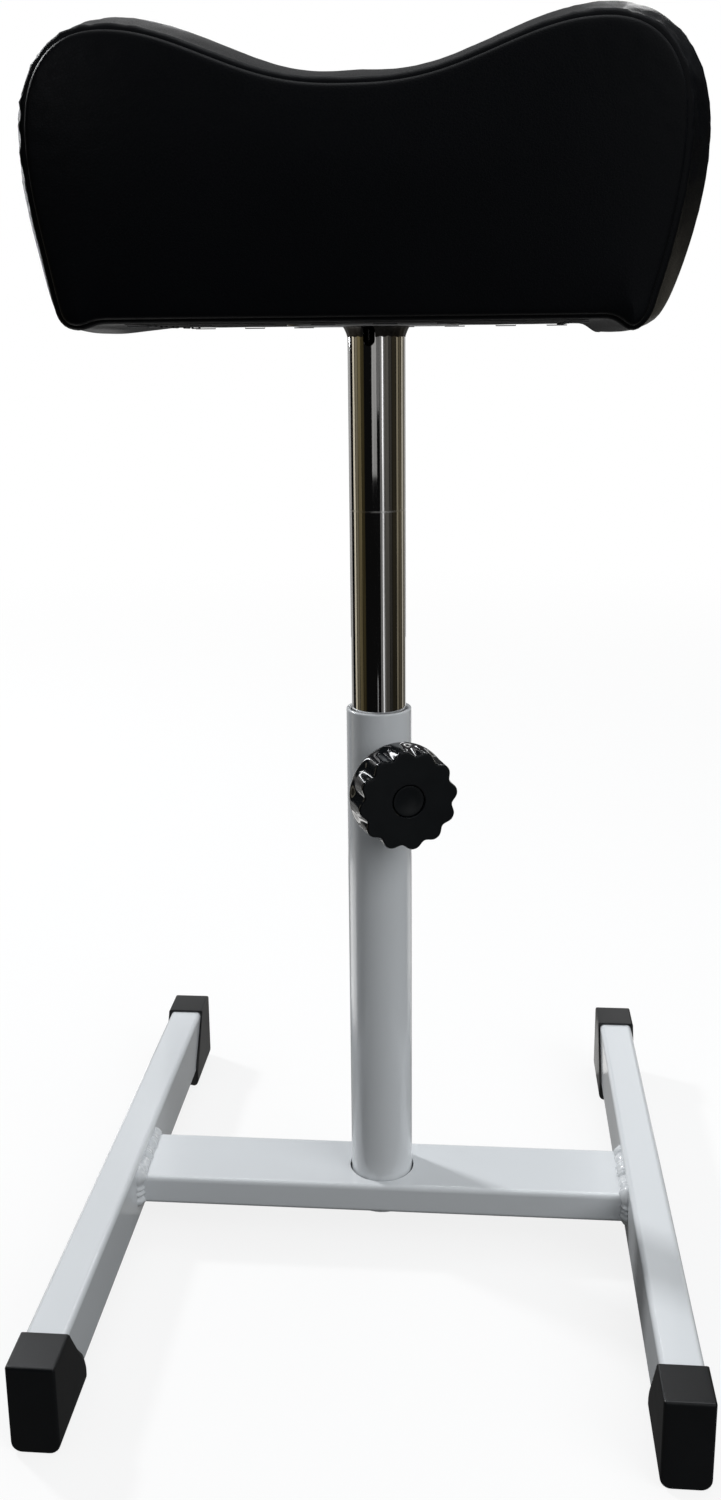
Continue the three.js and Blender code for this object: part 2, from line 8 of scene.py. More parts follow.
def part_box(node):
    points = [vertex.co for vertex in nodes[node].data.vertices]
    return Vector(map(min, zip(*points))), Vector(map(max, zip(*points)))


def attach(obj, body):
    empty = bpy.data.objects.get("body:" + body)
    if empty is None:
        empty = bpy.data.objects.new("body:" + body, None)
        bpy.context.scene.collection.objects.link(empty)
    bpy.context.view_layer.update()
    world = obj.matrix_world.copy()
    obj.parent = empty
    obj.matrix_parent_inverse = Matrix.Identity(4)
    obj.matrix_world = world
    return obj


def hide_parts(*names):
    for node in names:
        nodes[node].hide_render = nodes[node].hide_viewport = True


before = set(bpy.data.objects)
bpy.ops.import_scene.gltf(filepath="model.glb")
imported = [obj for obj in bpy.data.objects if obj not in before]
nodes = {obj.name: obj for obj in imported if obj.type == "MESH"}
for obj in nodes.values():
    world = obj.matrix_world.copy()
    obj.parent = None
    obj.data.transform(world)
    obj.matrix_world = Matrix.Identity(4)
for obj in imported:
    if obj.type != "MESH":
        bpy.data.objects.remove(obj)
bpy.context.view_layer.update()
mm = 0.001
mergeGap = 0.002 * mm
fullTurn = 2 * math.pi
print("frame loaded")


def boxOf(name):
    low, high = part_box(name)
    return Vector(low) / mm, Vector(high) / mm


def smoothStep(low, high, value):
    share = min(max((value - low) / (high - low), 0.0), 1.0)
    return share * share * (3 - 2 * share)


# Shapes are lists of rings of points; a skin joins them with four-sided faces

def skin(rings, closed=True, loop=False, ends=False):
    count = len(rings[0])
    steps = count if closed else count - 1
    spans = len(rings) if loop else len(rings) - 1
    faces = []
    for r in range(spans):
        here, there = r * count, (r + 1) % len(rings) * count
        for i in range(steps):
            j = (i + 1) % count
            faces.append((here + i, here + j, there + j, there + i))
    if ends:
        faces.append(tuple(range(count)))
        faces.append(tuple(range((len(rings) - 1) * count, len(rings) * count)))
    return [point for ring in rings for point in ring], faces


# corners are (x, y, radius)
def filleted(corners, steps):
    points = []
    for i, (x, y, radius) in enumerate(corners):
        here = Vector((x, y))
        ahead = (Vector(corners[(i + 1) % len(corners)][:2]) - here).normalized()
        behind = (Vector(corners[i - 1][:2]) - here).normalized()
        half = math.acos(max(-1.0, min(1.0, ahead.dot(behind)))) / 2
        middle = here + (ahead + behind).normalized() * radius / math.sin(half)
        first = here + behind * radius / math.tan(half) - middle
        last = here + ahead * radius / math.tan(half) - middle
        sweep = first.angle_signed(last)
        for k in range(steps + 1):
            spot = first.copy()
            spot.rotate(Matrix.Rotation(-sweep * k / steps, 2))
            points.append(tuple(middle + spot))
    return points


def roundBox(width, height, corner, steps):
    x, y = width / 2, height / 2
    return filleted([(x, -y, corner), (x, y, corner), (-x, y, corner), (-x, -y, corner)], steps)


# sine and cosine at equal steps of a quarter turn
def quarter(steps, first=0):
    turns = [k / steps * math.pi / 2 for k in range(first, steps + 1)]
    return [(math.sin(turn), math.cos(turn)) for turn in turns]


# a row of (radius, height) at one turn round the Z axis
def spun(row, turn):
    return [(r * math.cos(turn), r * math.sin(turn), z) for r, z in row]


def lathe(profile, segments):
    return skin([spun(profile, fullTurn * i / segments) for i in range(segments)], loop=True)


def makeMesh(name, shape, place=None, merge=True):
    points, faces = shape
    mesh = bpy.data.meshes.new(name)
    place = place or Matrix()
    mesh.from_pydata([place @ (Vector(p) * mm) for p in points], [], faces)
    work = bmesh.new()
    work.from_mesh(mesh)
    if merge:
        bmesh.ops.remove_doubles(work, verts=work.verts, dist=mergeGap)
    bmesh.ops.recalc_face_normals(work, faces=work.faces)
    work.to_mesh(mesh)
    work.free()
    return mesh


def linked(name, mesh):
    made = bpy.data.objects.new(name, mesh)
    bpy.context.scene.collection.objects.link(made)
    return made


def addPiece(name, shape, place=None, merge=True):
    return linked(name, makeMesh(name, shape, place, merge))


def modify(piece, name, kind, **settings):
    modifier = piece.modifiers.new(name, kind)
    for key, value in settings.items():
        setattr(modifier, key, value)
    return modifier


def applyModifiers(piece):
    graph = bpy.context.evaluated_depsgraph_get()
    mesh = bpy.data.meshes.new_from_object(piece.evaluated_get(graph))
    piece.modifiers.clear()
    piece.data = mesh


def cut(piece, *tools):
    cutters = [linked("cutter", tool) for tool in tools]
    for cutter in cutters:
        modify(piece, "cut", "BOOLEAN", operation="DIFFERENCE", solver="EXACT", object=cutter)
    applyModifiers(piece)
    for cutter in cutters:
        bpy.data.objects.remove(cutter)


# edges sharper than the crease, in degrees, stay sharp
def dress(piece, finish, body, stands=(), crease=35, weighted=True):
    mesh = piece.data
    mesh.materials.clear()
    mesh.materials.append(finish)
    mesh.shade_smooth()
    mesh.set_sharp_from_angle(angle=math.radians(crease))
    if weighted:
        modify(piece, "flatFaces", "WEIGHTED_NORMAL", keep_sharp=True)
    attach(piece, body)
    if stands:
        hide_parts(*stands)
    return piece


# Shader maths: a Wire is one output of a node, and arithmetic on it adds Math nodes

class Wire:
    def __init__(self, tree, socket=None):
        self.tree = tree
        self.socket = socket

    def node(self, kind, settings=None, inputs=None, output=0):
        made = self.tree.nodes.new("ShaderNode" + kind)
        for name, value in (settings or {}).items():
            setattr(made, name, value)
        for name, value in (inputs or {}).items():
            if isinstance(value, Wire):
                self.tree.links.new(value.socket, made.inputs[name])
            else:
                made.inputs[name].default_value = value
        return Wire(self.tree, made.outputs[output] if made.outputs else None)

    def out(self, name):
        return Wire(self.tree, self.socket.node.outputs[name])

    def maths(self, operation, *values):
        return self.node("Math", {"operation": operation}, dict(enumerate(values)))

    def __add__(self, other):
        return self.maths("ADD", self, other)

    def __radd__(self, other):
        return self.maths("ADD", other, self)

    def __sub__(self, other):
        return self.maths("SUBTRACT", self, other)

    def __rsub__(self, other):
        return self.maths("SUBTRACT", other, self)

    def __mul__(self, other):
        return self.maths("MULTIPLY", self, other)

    def __rmul__(self, other):
        return self.maths("MULTIPLY", other, self)

    def __truediv__(self, other):
        return self.maths("DIVIDE", self, other)

    def __rtruediv__(self, other):
        return self.maths("DIVIDE", other, self)


def startFinish(name):
    material = bpy.data.materials.new(name)
    material.use_nodes = True
    material.node_tree.nodes.clear()
    return material, Wire(material.node_tree)


def millimetres(shade):
    place = shade.node("TexCoord").out("Object")
    return shade.node("VectorMath", {"operation": "SCALE"}, {0: place, "Scale": 1 / mm})


def stretched(shade, place, x, y, z):
    return shade.node("VectorMath", {"operation": "MULTIPLY"}, {0: place, 1: (x, y, z)})


def grain(shade, place, size, detail=2.0, rough=0.5):
    settings = {"Vector": place, "Scale": 1 / size, "Detail": detail, "Roughness": rough}
    return shade.node("TexNoise", None, settings)


def between(shade, low, high, share):
    blend = {"data_type": "RGBA"}
    return shade.node("Mix", blend, {0: share, 6: (*low, 1), 7: (*high, 1)}, output=2)


def closeFinish(shade, height, lift, **sockets):
    values = {name.replace("_", " "): value for name, value in sockets.items()}
    bump = {"Height": height, "Distance": lift * mm, "Strength": 1.0}
    values["Normal"] = shade.node("Bump", None, bump)
    surface = shade.node("BsdfPrincipled", None, values)
    shade.node("OutputMaterial", None, {"Surface": surface})


# one noise sets the colour, the roughness and the bumps
def speckled(name, look, **sockets):
    material, shade = startFinish(name)
    speckle = grain(shade, millimetres(shade), look["size"], look["detail"])
    closeFinish(
        shade, speckle, look["lift"],
        Base_Color=between(shade, look["dark"], look["light"], speckle),
        Roughness=look["roughness"] + speckle * look["uneven"], **sockets,
    )
    return material


def paintFinish(name, coat):
    look = {"light": (0.80, 0.82, 0.84), "dark": (0.77, 0.79, 0.81), "roughness": 0.20, "uneven": 0.12,
            "peelSize": 2.4, "peelLift": 0.008, "patchSize": 60, "coatRoughness": 0.08}
    material, shade = startFinish(name)
    place = millimetres(shade)
    patches = grain(shade, place, look["patchSize"])
    peel = grain(shade, place, look["peelSize"], 1.0)
    closeFinish(
        shade, peel, look["peelLift"],
        Base_Color=between(shade, look["dark"], look["light"], patches),
        Roughness=look["roughness"] + (patches - 0.5) * look["uneven"],
        Coat_Weight=coat, Coat_Roughness=look["coatRoughness"],
    )
    return material


# slow waves along the tube, and a thin ring rubbed into it by the clamp
def chromeFinish():
    look = {"light": (0.83, 0.83, 0.84), "dark": (0.74, 0.73, 0.72), "roughness": 0.035, "uneven": 0.04,
            "lift": 0.02, "waveSize": 22, "wave": 2.6, "waveSpan": 0.35, "rippleSize": 3.4, "ripple": 0.5,
            "rippleSpan": 0.035, "streakSize": 0.9, "streakSpan": 0.03, "rubHeight": 361, "rubHalf": 0.35,
            "rub": 0.2}
    material, shade = startFinish("polished chrome")
    place = millimetres(shade)
    wave = grain(shade, stretched(shade, place, 1, 1, look["waveSpan"]), look["waveSize"], 1.0)
    ripple = grain(shade, stretched(shade, place, 1, 1, look["rippleSpan"]), look["rippleSize"], 2.0)
    streak = grain(shade, stretched(shade, place, 1, 1, look["streakSpan"]), look["streakSize"])
    height = shade.node("SeparateXYZ", None, {0: place}).out("Z")
    away = shade.maths("ABSOLUTE", height - look["rubHeight"])
    rub = shade.maths("LESS_THAN", away, look["rubHalf"])
    closeFinish(
        shade, wave * look["wave"] + ripple * look["ripple"], look["lift"],
        Base_Color=between(shade, look["dark"], look["light"], streak),
        Roughness=look["roughness"] + streak * look["uneven"] + rub * look["rub"],
        Metallic=1.0,
    )
    return material


# near-black colour of the weld under the cushion: painted shade from the cushion, and a painted dark
# reflection in place of the floor
def weldFinish():
    look = {"light": (0.09, 0.085, 0.08), "dark": (0.02, 0.018, 0.016), "roughness": 0.38, "uneven": 0.2,
            "size": 1.6, "detail": 3.0, "lift": 0.05}
    return speckled("plated weld", look, Metallic=0.9)


# dark grey colour of the staples under the board: painted shade, so they stay as dark as the shadow of the
# cushion
def wireFinish():
    look = {"light": (0.10, 0.10, 0.11), "dark": (0.05, 0.05, 0.055), "roughness": 0.45, "uneven": 0.1,
            "size": 1.1, "detail": 2.0, "lift": 0.01}
    return speckled("dark staple wire", look, Metallic=0.8)


def capFinish():
    look = {"light": (0.006, 0.007, 0.0085), "dark": (0.003, 0.0036, 0.0045), "roughness": 0.35,
            "uneven": 0.12, "patchSize": 14, "grainSize": 0.7, "grainLift": 0.018, "specular": 0.45}
    material, shade = startFinish("black cap plastic")
    place = millimetres(shade)
    patches = grain(shade, place, look["patchSize"])
    fine = grain(shade, place, look["grainSize"], 2.0)
    closeFinish(
        shade, fine, look["grainLift"],
        Base_Color=between(shade, look["dark"], look["light"], patches),
        Roughness=look["roughness"] + (patches - 0.5) * look["uneven"],
        Specular_IOR_Level=look["specular"],
    )
    return material


# glossy, but satin on the flat face and on the disc in its middle
def knobFinish():
    look = {"light": (0.0075, 0.009, 0.0105), "dark": (0.0045, 0.0055, 0.0065), "gloss": 0.08,
            "satin": 0.34, "uneven": 0.06, "coat": 0.8, "coatRoughness": 0.10, "specular": 0.24,
            "faceDepth": 0.12, "discRadius": 7.4, "grainSize": 0.4, "grainLift": 0.012, "patchSize": 9,
            "flowSize": 5, "flow": 0.5}
    material, shade = startFinish("black knob plastic")
    place = millimetres(shade)
    fromAxis = shade.node("VectorMath", {"operation": "SUBTRACT"}, {0: place, 1: (0, 0, clampHeight)})
    along = shade.node("VectorMath", {"operation": "DOT_PRODUCT"}, {0: fromAxis, 1: outward}, "Value")
    across = shade.node("VectorMath", {"operation": "CROSS_PRODUCT"}, {0: fromAxis, 1: outward})
    radius = shade.node("VectorMath", {"operation": "LENGTH"}, {0: across}, "Value")
    onFace = shade.maths("MAXIMUM", shade.maths("GREATER_THAN", along, knobFaceDistance - look["faceDepth"]),
                         shade.maths("LESS_THAN", radius, look["discRadius"]))
    fine = grain(shade, place, look["grainSize"], 2.0)
    patches = grain(shade, place, look["patchSize"])
    flow = grain(shade, place, look["flowSize"], 1.0)
    closeFinish(
        shade, fine * onFace + flow * look["flow"], look["grainLift"],
        Base_Color=between(shade, look["dark"], look["light"], patches),
        Roughness=look["gloss"] + onFace * (look["satin"] - look["gloss"]) + patches * look["uneven"],
        Coat_Weight=(1 - onFace) * look["coat"], Coat_Roughness=look["coatRoughness"],
        Specular_IOR_Level=look["specular"],
    )
    return material


# pored all over, and with a thin coat on the band between the seams
def leatherFinish():
    look = {"light": (0.0019, 0.0025, 0.0040), "dark": (0.0009, 0.0013, 0.0021), "roughness": 0.44,
            "poreRoughness": 0.10, "uneven": 0.14, "specular": 0.10, "driftSize": 2.6, "drift": 1.1,
            "cellSize": 1.15, "cellSlope": 4.0, "creaseSize": 7, "broadSize": 45, "lift": 0.04, "pore": 0.6,
            "crease": 1.5, "broadShare": 0.6, "poreShare": 0.4, "bandFrom": 77.2, "bandBlend": 1.5,
            "bandCoat": 0.07, "coatRoughness": 0.16}
    material, shade = startFinish("black leatherette")
    place = millimetres(shade)
    drift = grain(shade, place, look["driftSize"], 2.0)
    bent = shade.node("VectorMath", {"operation": "MULTIPLY_ADD"},
                      {0: drift.out("Color"), 1: (look["drift"],) * 3, 2: place})
    cells = shade.node("TexVoronoi", {"feature": "DISTANCE_TO_EDGE"},
                       {"Vector": bent, "Scale": 1 / look["cellSize"]})
    pores = shade.maths("MINIMUM", cells * look["cellSlope"], 1.0)
    creases = grain(shade, place, look["creaseSize"], 3.0)
    broad = grain(shade, place, look["broadSize"], 2.0)
    depth = shade.maths("ABSOLUTE", shade.node("SeparateXYZ", None, {0: place}).out("Y"))
    onBand = shade.node("MapRange", None, {0: depth, 1: look["bandFrom"] + look["bandBlend"],
                                           2: look["bandFrom"] - look["bandBlend"]})
    tone = broad * look["broadShare"] + pores * look["poreShare"]
    closeFinish(
        shade, pores * look["pore"] + drift * look["pore"] + creases * look["crease"], look["lift"],
        Base_Color=between(shade, look["dark"], look["light"], tone),
        Roughness=look["roughness"] + (1 - pores) * look["poreRoughness"] + (broad - 0.5) * look["uneven"],
        Coat_Weight=onBand * look["bandCoat"], Coat_Roughness=look["coatRoughness"],
        Specular_IOR_Level=look["specular"],
    )
    return material


def fleeceFinish():
    look = {"light": (0.032, 0.032, 0.034), "dark": (0.012, 0.012, 0.013), "roughness": 0.85, "uneven": 0.1,
            "fibreSize": 0.7, "fibre": 0.8, "bondPitch": 1.6, "bondScatter": 0.15, "bondSlope": 2.6,
            "fibreShare": 0.6, "dimpleShare": 0.4, "lift": 0.12, "specular": 0.2}
    material, shade = startFinish("black bonded fibre")
    place = millimetres(shade)
    fibres = grain(shade, place, look["fibreSize"], 4.0, 0.7)
    bonds = shade.node("TexVoronoi", {"feature": "F1"}, {
        "Vector": place, "Scale": 1 / look["bondPitch"], "Randomness": look["bondScatter"]})
    dimple = shade.maths("MINIMUM", bonds * look["bondSlope"], 1.0)
    tone = fibres * look["fibreShare"] + dimple * look["dimpleShare"]
    closeFinish(
        shade, dimple + fibres * look["fibre"], look["lift"],
        Base_Color=between(shade, look["dark"], look["light"], tone),
        Roughness=look["roughness"] + fibres * look["uneven"],
        Specular_IOR_Level=look["specular"],
    )
    return material


def zincFinish():
    look = {"light": (0.68, 0.69, 0.70), "dark": (0.52, 0.53, 0.55), "roughness": 0.30, "uneven": 0.12,
            "spangleScale": 0.35, "spangle": 0.2, "brushSize": 0.5, "brushSpan": 0.1, "lift": 0.01,
            "patchSize": 6, "patch": 0.7}
    material, shade = startFinish("zinc plated steel")
    place = millimetres(shade)
    spangle = shade.node("TexVoronoi", {"feature": "F1"}, {"Vector": place, "Scale": look["spangleScale"]})
    brush = grain(shade, stretched(shade, place, 1, look["brushSpan"], 1), look["brushSize"], 3.0)
    patches = grain(shade, place, look["patchSize"], 3.0)
    tone = patches * look["patch"] + spangle * look["spangle"]
    closeFinish(
        shade, brush, look["lift"],
        Base_Color=between(shade, look["dark"], look["light"], tone),
        Roughness=look["roughness"] + brush * look["uneven"], Metallic=1.0,
    )
    return material


def nylonFinish():
    look = {"light": (0.78, 0.76, 0.71), "dark": (0.70, 0.68, 0.62), "roughness": 0.42, "uneven": 0.1,
            "size": 2.5, "detail": 2.0, "lift": 0.02}
    return speckled("natural nylon", look)


def plywoodFinish():
    look = {"light": (0.66, 0.48, 0.29), "dark": (0.46, 0.30, 0.16), "roughness": 0.72, "uneven": 0.15,
            "figureSize": 3.0, "figureSpan": 0.06, "figure": 0.75, "plyScale": 0.05, "plyBend": 1.5,
            "ply": 0.25, "lift": 0.08}
    material, shade = startFinish("bare plywood")
    place = millimetres(shade)
    figure = grain(shade, stretched(shade, place, look["figureSpan"], 1, 1), look["figureSize"], 4.0, 0.65)
    plies = shade.node("TexWave", {"bands_direction": "Z"}, {
        "Vector": place, "Scale": look["plyScale"], "Distortion": look["plyBend"]})
    tone = figure * look["figure"] + plies * look["ply"]
    closeFinish(
        shade, figure, look["lift"],
        Base_Color=between(shade, look["dark"], look["light"], tone),
        Roughness=look["roughness"] + figure * look["uneven"],
    )
    return material


def foamFinish():
    look = {"light": (0.86, 0.80, 0.58), "dark": (0.68, 0.60, 0.40), "roughness": 0.9, "uneven": 0.05,
            "poreSize": 1.2, "lift": 0.4}
    material, shade = startFinish("open-cell foam")
    place = millimetres(shade)
    cells = shade.node("TexVoronoi", {"feature": "F1"}, {"Vector": place, "Scale": 1 / look["poreSize"]})
    closeFinish(
        shade, cells, look["lift"],
        Base_Color=between(shade, look["light"], look["dark"], cells),
        Roughness=look["roughness"] + cells * look["uneven"],
    )
    return material


# Axis of the clamp screw, and a frame whose Z runs out along it

clampTurn = math.radians(21.5)
clampHeight = 237.8
outward = Vector((math.sin(clampTurn), -math.cos(clampTurn), 0))
clampPlace = Matrix((
    (math.cos(clampTurn), 0, math.sin(clampTurn), 0),
    (math.sin(clampTurn), 0, -math.cos(clampTurn), 0),
    (0, 1, 0, clampHeight * mm),
    (0, 0, 0, 1),
))
knobFaceDistance = 43.3

paint = paintFinish("white powder coat", 0.3)
beadPaint = paintFinish("thick powder coat", 1.0)
chrome = chromeFinish()
weldDarkAsShade = weldFinish()
stapleWireDarkAsShade = wireFinish()
capPlastic = capFinish()
knobPlastic = knobFinish()
leatherette = leatherFinish()
fleece = fleeceFinish()
zinc = zincFinish()
nylon = nylonFinish()
plywood = plywoodFinish()
foam = foamFinish()
print("finishes made")


# Base: two runners, the crossbar between them and the weld beads at its ends

tubes = {"corner": 2.5, "wall": 1.5, "cornerSteps": 8, "holeRadius": 15.7, "holeDepth": 60, "holeSteps": 96,
         "holeEdge": 0.35, "holeCrease": math.radians(60)}


def tubeRings(width, height, length):
    corner, wall, steps = tubes["corner"], tubes["wall"], tubes["cornerSteps"]
    outer = roundBox(width, height, corner, steps)
    inner = roundBox(width - 2 * wall, height - 2 * wall, corner - wall, steps)
    return [[(x, length / 2 * end, z) for x, z in ring]
            for ring, end in ((outer, -1), (outer, 1), (inner, 1), (inner, -1))]


def addRunner(name):
    low, high = boxOf(name)
    size, middle = high - low, (high + low) / 2
    rings = tubeRings(size.x, size.z, size.y)
    tube = addPiece(name + "_tube", skin(rings, loop=True), Matrix.Translation(middle * mm))
    dress(tube, paint, "base", [name])


def addCrossbar():
    low, high = boxOf("crossbar")
    size, middle = high - low, (high + low) / 2
    rings = [[(y, x, z) for x, y, z in ring] for ring in tubeRings(size.y, size.z, size.x)]
    bar = addPiece("crossbar_tube", skin(rings, loop=True), Matrix.Translation(middle * mm))
    radius, depth = tubes["holeRadius"], tubes["holeDepth"]
    cut(bar, makeMesh("drill", lathe([(0, 0), (radius, 0), (radius, depth), (0, depth)], tubes["holeSteps"])))
    modify(bar, "holeEdge", "BEVEL", width=tubes["holeEdge"] * mm, segments=2, limit_method="ANGLE",
           angle_limit=tubes["holeCrease"])
    dress(bar, paint, "base", ["crossbar"])


bead = {"leg": 3.9, "legShare": 0.92, "legUneven": 0.16, "legRun": 9, "bury": 0.5, "toe": 0.9, "pitch": 4.7,
        "step": 0.55, "look": 0.4, "cornerSteps": 10, "sectionSteps": 9, "lump": 0.27, "lumpUneven": 1.2,
        "lumpShape": 3, "belly": 1.3, "swell": 0.10, "swellRun": 2.1, "swellTurns": 2, "cornerBlob": 1.3,
        "blobSize": 2.6, "wander": 1.3, "wanderRun": 7.0, "seeds": (5, 3, 7)}


# lumps of uneven length round the end of the crossbar, with a blob at its upper corner in front
def addCrossbarWeld(name, side):
    low, high = boxOf("crossbar")
    size, middle = high - low, (high + low) / 2
    outline = [Vector(p) for p in roundBox(size.y, size.z, tubes["corner"], bead["cornerSteps"])]
    lengths = [0.0]
    for a, b in zip(outline, outline[1:] + outline[:1]):
        lengths.append(lengths[-1] + (b - a).length)
    total = lengths[-1]
    count = int(total / bead["step"])
    lumps = round(total / bead["pitch"])
    wanderSeed, legSeed, swellSeed = (side * seed for seed in bead["seeds"])

    def spotAt(run):
        run %= total
        i = max(k for k in range(len(outline)) if lengths[k] <= run)
        share = (run - lengths[i]) / (lengths[i + 1] - lengths[i])
        return outline[i].lerp(outline[(i + 1) % len(outline)], share)

    rings = []
    face = boxOf("left_runner")[1].x if side < 0 else boxOf("right_runner")[0].x
    for i in range(count):
        run = total * i / count
        spot = spotAt(run)
        along = (spotAt(run + bead["look"]) - spotAt(run - bead["look"])).normalized()
        out = Vector((along.y, -along.x))
        angle = fullTurn * run / total
        circle = Vector((math.cos(angle), math.sin(angle), 0)) * (total / fullTurn / bead["wanderRun"])
        wander = noise.noise(circle + Vector((0, 0, wanderSeed)))
        phase = (run / total * lumps + wander * bead["wander"]) % 1.0
        dent = bead["lump"] * (1 + bead["lumpUneven"] * wander)
        scale = 1 - dent * abs(math.cos(math.pi * phase)) ** bead["lumpShape"]
        blob = math.hypot(spot.x + size.y / 2, spot.y - size.z / 2) / bead["blobSize"]
        uneven = bead["legUneven"] * noise.noise(Vector((run / bead["legRun"], legSeed, 0)))
        leg = bead["leg"] * scale * (bead["legShare"] + uneven)
        leg += bead["cornerBlob"] * math.exp(-blob * blob)
        ring = [(-bead["bury"], -bead["bury"]), (leg * bead["toe"], -bead["bury"])]
        for k in range(bead["sectionSteps"] + 1):
            turn = k / bead["sectionSteps"] * math.pi / 2
            spotSeed = Vector((run / bead["swellRun"], turn * bead["swellTurns"], swellSeed))
            reach = leg * (1 + bead["swell"] * noise.noise(spotSeed))
            ring.append((reach * max(math.cos(turn), 0) ** bead["belly"],
                         reach * max(math.sin(turn), 0) ** bead["belly"]))
        ring.append((-bead["bury"], leg * bead["toe"]))
        rings.append([(face - side * reach, spot.x + out.x * rise, middle.z + spot.y + out.y * rise)
                      for rise, reach in ring])
    piece = addPiece(name + "_bead", skin(rings, loop=True))
    dress(piece, beadPaint, "base", [name], crease=60, weighted=False)


addRunner("left_runner")
addRunner("right_runner")
addCrossbar()
addCrossbarWeld("left_weld", -1)
addCrossbarWeld("right_weld", 1)
print("base frame made")


# Slip-on feet: a slanted rim round the tube and a thick, round-cornered sole

foot = {"topCorner": 1.1, "leastTop": 0.15, "soleCorner": 4.6, "leastSole": 0.6, "toeRound": 1.3,
        "soleRound": 2.0, "rimRound": 0.35, "wall": 1.0, "innerCorner": 2.4, "endWall": 2.6,
        "innerRow": 12.0, "sole": 8.8, "topReach": 21.0, "slant": 19.4, "bulge": 0.22,
        "endInsets": (9.6, 7.0, 4.0, 2.4), "sideSteps": 12, "cornerSteps": 6, "lengthSteps": 12,
        "toeSteps": 5, "rimSteps": 6}


# a rounded box with the same number of points for every size
def footLoop(width, low, high, topCorner, soleCorner):
    x = width / 2
    corners = [(x, low, soleCorner), (x, high, topCorner), (-x, high, topCorner), (-x, low, soleCorner)]
    arcs = filleted(corners, foot["cornerSteps"])
    size = foot["cornerSteps"] + 1
    loop = []
    for k in range(4):
        arc = arcs[k * size:(k + 1) * size]
        ahead = arcs[(k + 1) % 4 * size]
        loop += arc
        for s in range(1, foot["sideSteps"]):
            share = s / foot["sideSteps"]
            loop.append((arc[-1][0] + (ahead[0] - arc[-1][0]) * share,
                         arc[-1][1] + (ahead[1] - arc[-1][1]) * share))
    return loop


def rimReach(z, top):
    reach = foot["topReach"] + foot["slant"] * (top - max(z, foot["sole"])) / (top - foot["sole"])
    low = foot["soleRound"]
    if z < low:
        reach -= low - math.sqrt(max(low * low - (low - z) ** 2, 0))
    return reach


def addFoot(name):
    low, high = boxOf(name)
    width, top = high.x - low.x, high.z
    facing = -1 if low.y < 0 else 1
    end = max(abs(low.y), abs(high.y))
    middle = (low.x + high.x) / 2

    def outer(inset):
        return footLoop(width - 2 * inset, inset, top - inset,
                        max(foot["topCorner"] - inset, foot["leastTop"]),
                        max(foot["soleCorner"] - inset, foot["leastSole"]))

    edge, corner = foot["wall"], foot["innerCorner"]
    inner = footLoop(width - 2 * edge, foot["sole"], top - edge, corner, corner)
    widest = foot["endInsets"][0]
    rings = [[(x, -foot["bulge"] * (inset / widest), z) for x, z in outer(inset)]
             for inset in foot["endInsets"]]
    toe, rim = foot["toeRound"], foot["rimRound"]
    for sine, cosine in quarter(foot["toeSteps"]):
        rings.append([(x, toe * (1 - cosine), z) for x, z in outer(toe * (1 - sine))])
    outside = outer(0)
    for k in range(1, foot["lengthSteps"] + 1):
        share = k / foot["lengthSteps"]
        rings.append([(x, toe + (rimReach(z, top) - rim - toe) * share, z) for x, z in outside])
    for k in range(1, foot["rimSteps"] + 1):
        turn = k / foot["rimSteps"] * math.pi
        share = (1 - math.cos(turn)) / 2
        rings.append([
            (x + (inX - x) * share, rimReach(z, top) - rim + rim * math.sin(turn), z + (inZ - z) * share)
            for (x, z), (inX, inZ) in zip(outside, inner)])
    for depth in (foot["innerRow"], foot["endWall"]):
        rings.append([(x, depth, z) for x, z in inner])
    rings = [[(middle + x, facing * (end - y), z) for x, y, z in ring] for ring in rings]
    piece = addPiece(name + "_foot", skin(rings, ends=True))
    dress(piece, capPlastic, "base", [name], crease=42)


for front in ("front", "back"):
    for hand in ("left", "right"):
        addFoot(f"cap_{front}_{hand}")
print("feet made")


# Post, the ring of weld under the crossbar, and the column that slides in the post

post = {"radius": 15.0, "bore": 13.0, "lip": 0.8, "innerLip": 0.9, "endEdge": 0.3, "edgeSteps": 5,
        "steps": 128, "studHole": 5.3, "holeFrom": 5, "holeTo": 20, "holeSteps": 48, "weldGap": 0.2,
        "weldRise": 0.3, "weldRun": 2.0, "weldDrop": 1.7, "weldPitch": 4.2, "weldSeed": 5.0}
column = {"radius": 12.5, "wall": 1.5, "edge": 0.3, "edgeSteps": 3, "steps": 160, "notchWidth": 5.2,
          "notchDepth": 8.0, "notchOver": 4.0, "notchSteps": 16, "notchCut": (-5.0, -22.0),
          "notchTurn": math.radians(-11), "weldGap": 0.1, "weldNotchGap": 0.4, "weldRun": 1.9,
          "weldDrop": 4.4, "weldPitch": 3.4, "weldSeed": 2.0, "weldPower": 2.4, "weldLump": 0.1}
ringBead = {"turns": 144, "sectionSteps": 8, "bury": 0.4, "over": 0.3, "toe": 0.95, "lumpShape": 3,
            "share": 0.97, "uneven": 0.8, "unevenTurns": 3}


def addPost():
    low, high = boxOf("post")
    inner, outer, end = post["bore"], post["radius"], post["endEdge"]
    corners = [(inner, low.z, end), (outer, low.z, end), (outer, high.z, post["lip"]),
               (inner, high.z, post["innerLip"])]
    tube = addPiece("post_tube", lathe(filleted(corners, post["edgeSteps"]), post["steps"]))
    wide, start, stop = post["studHole"], post["holeFrom"], post["holeTo"]
    profile = [(0, start), (wide, start), (wide, stop), (0, stop)]
    cut(tube, makeMesh("hole", lathe(profile, post["holeSteps"]), clampPlace))
    dress(tube, paint, "base", ["post"])


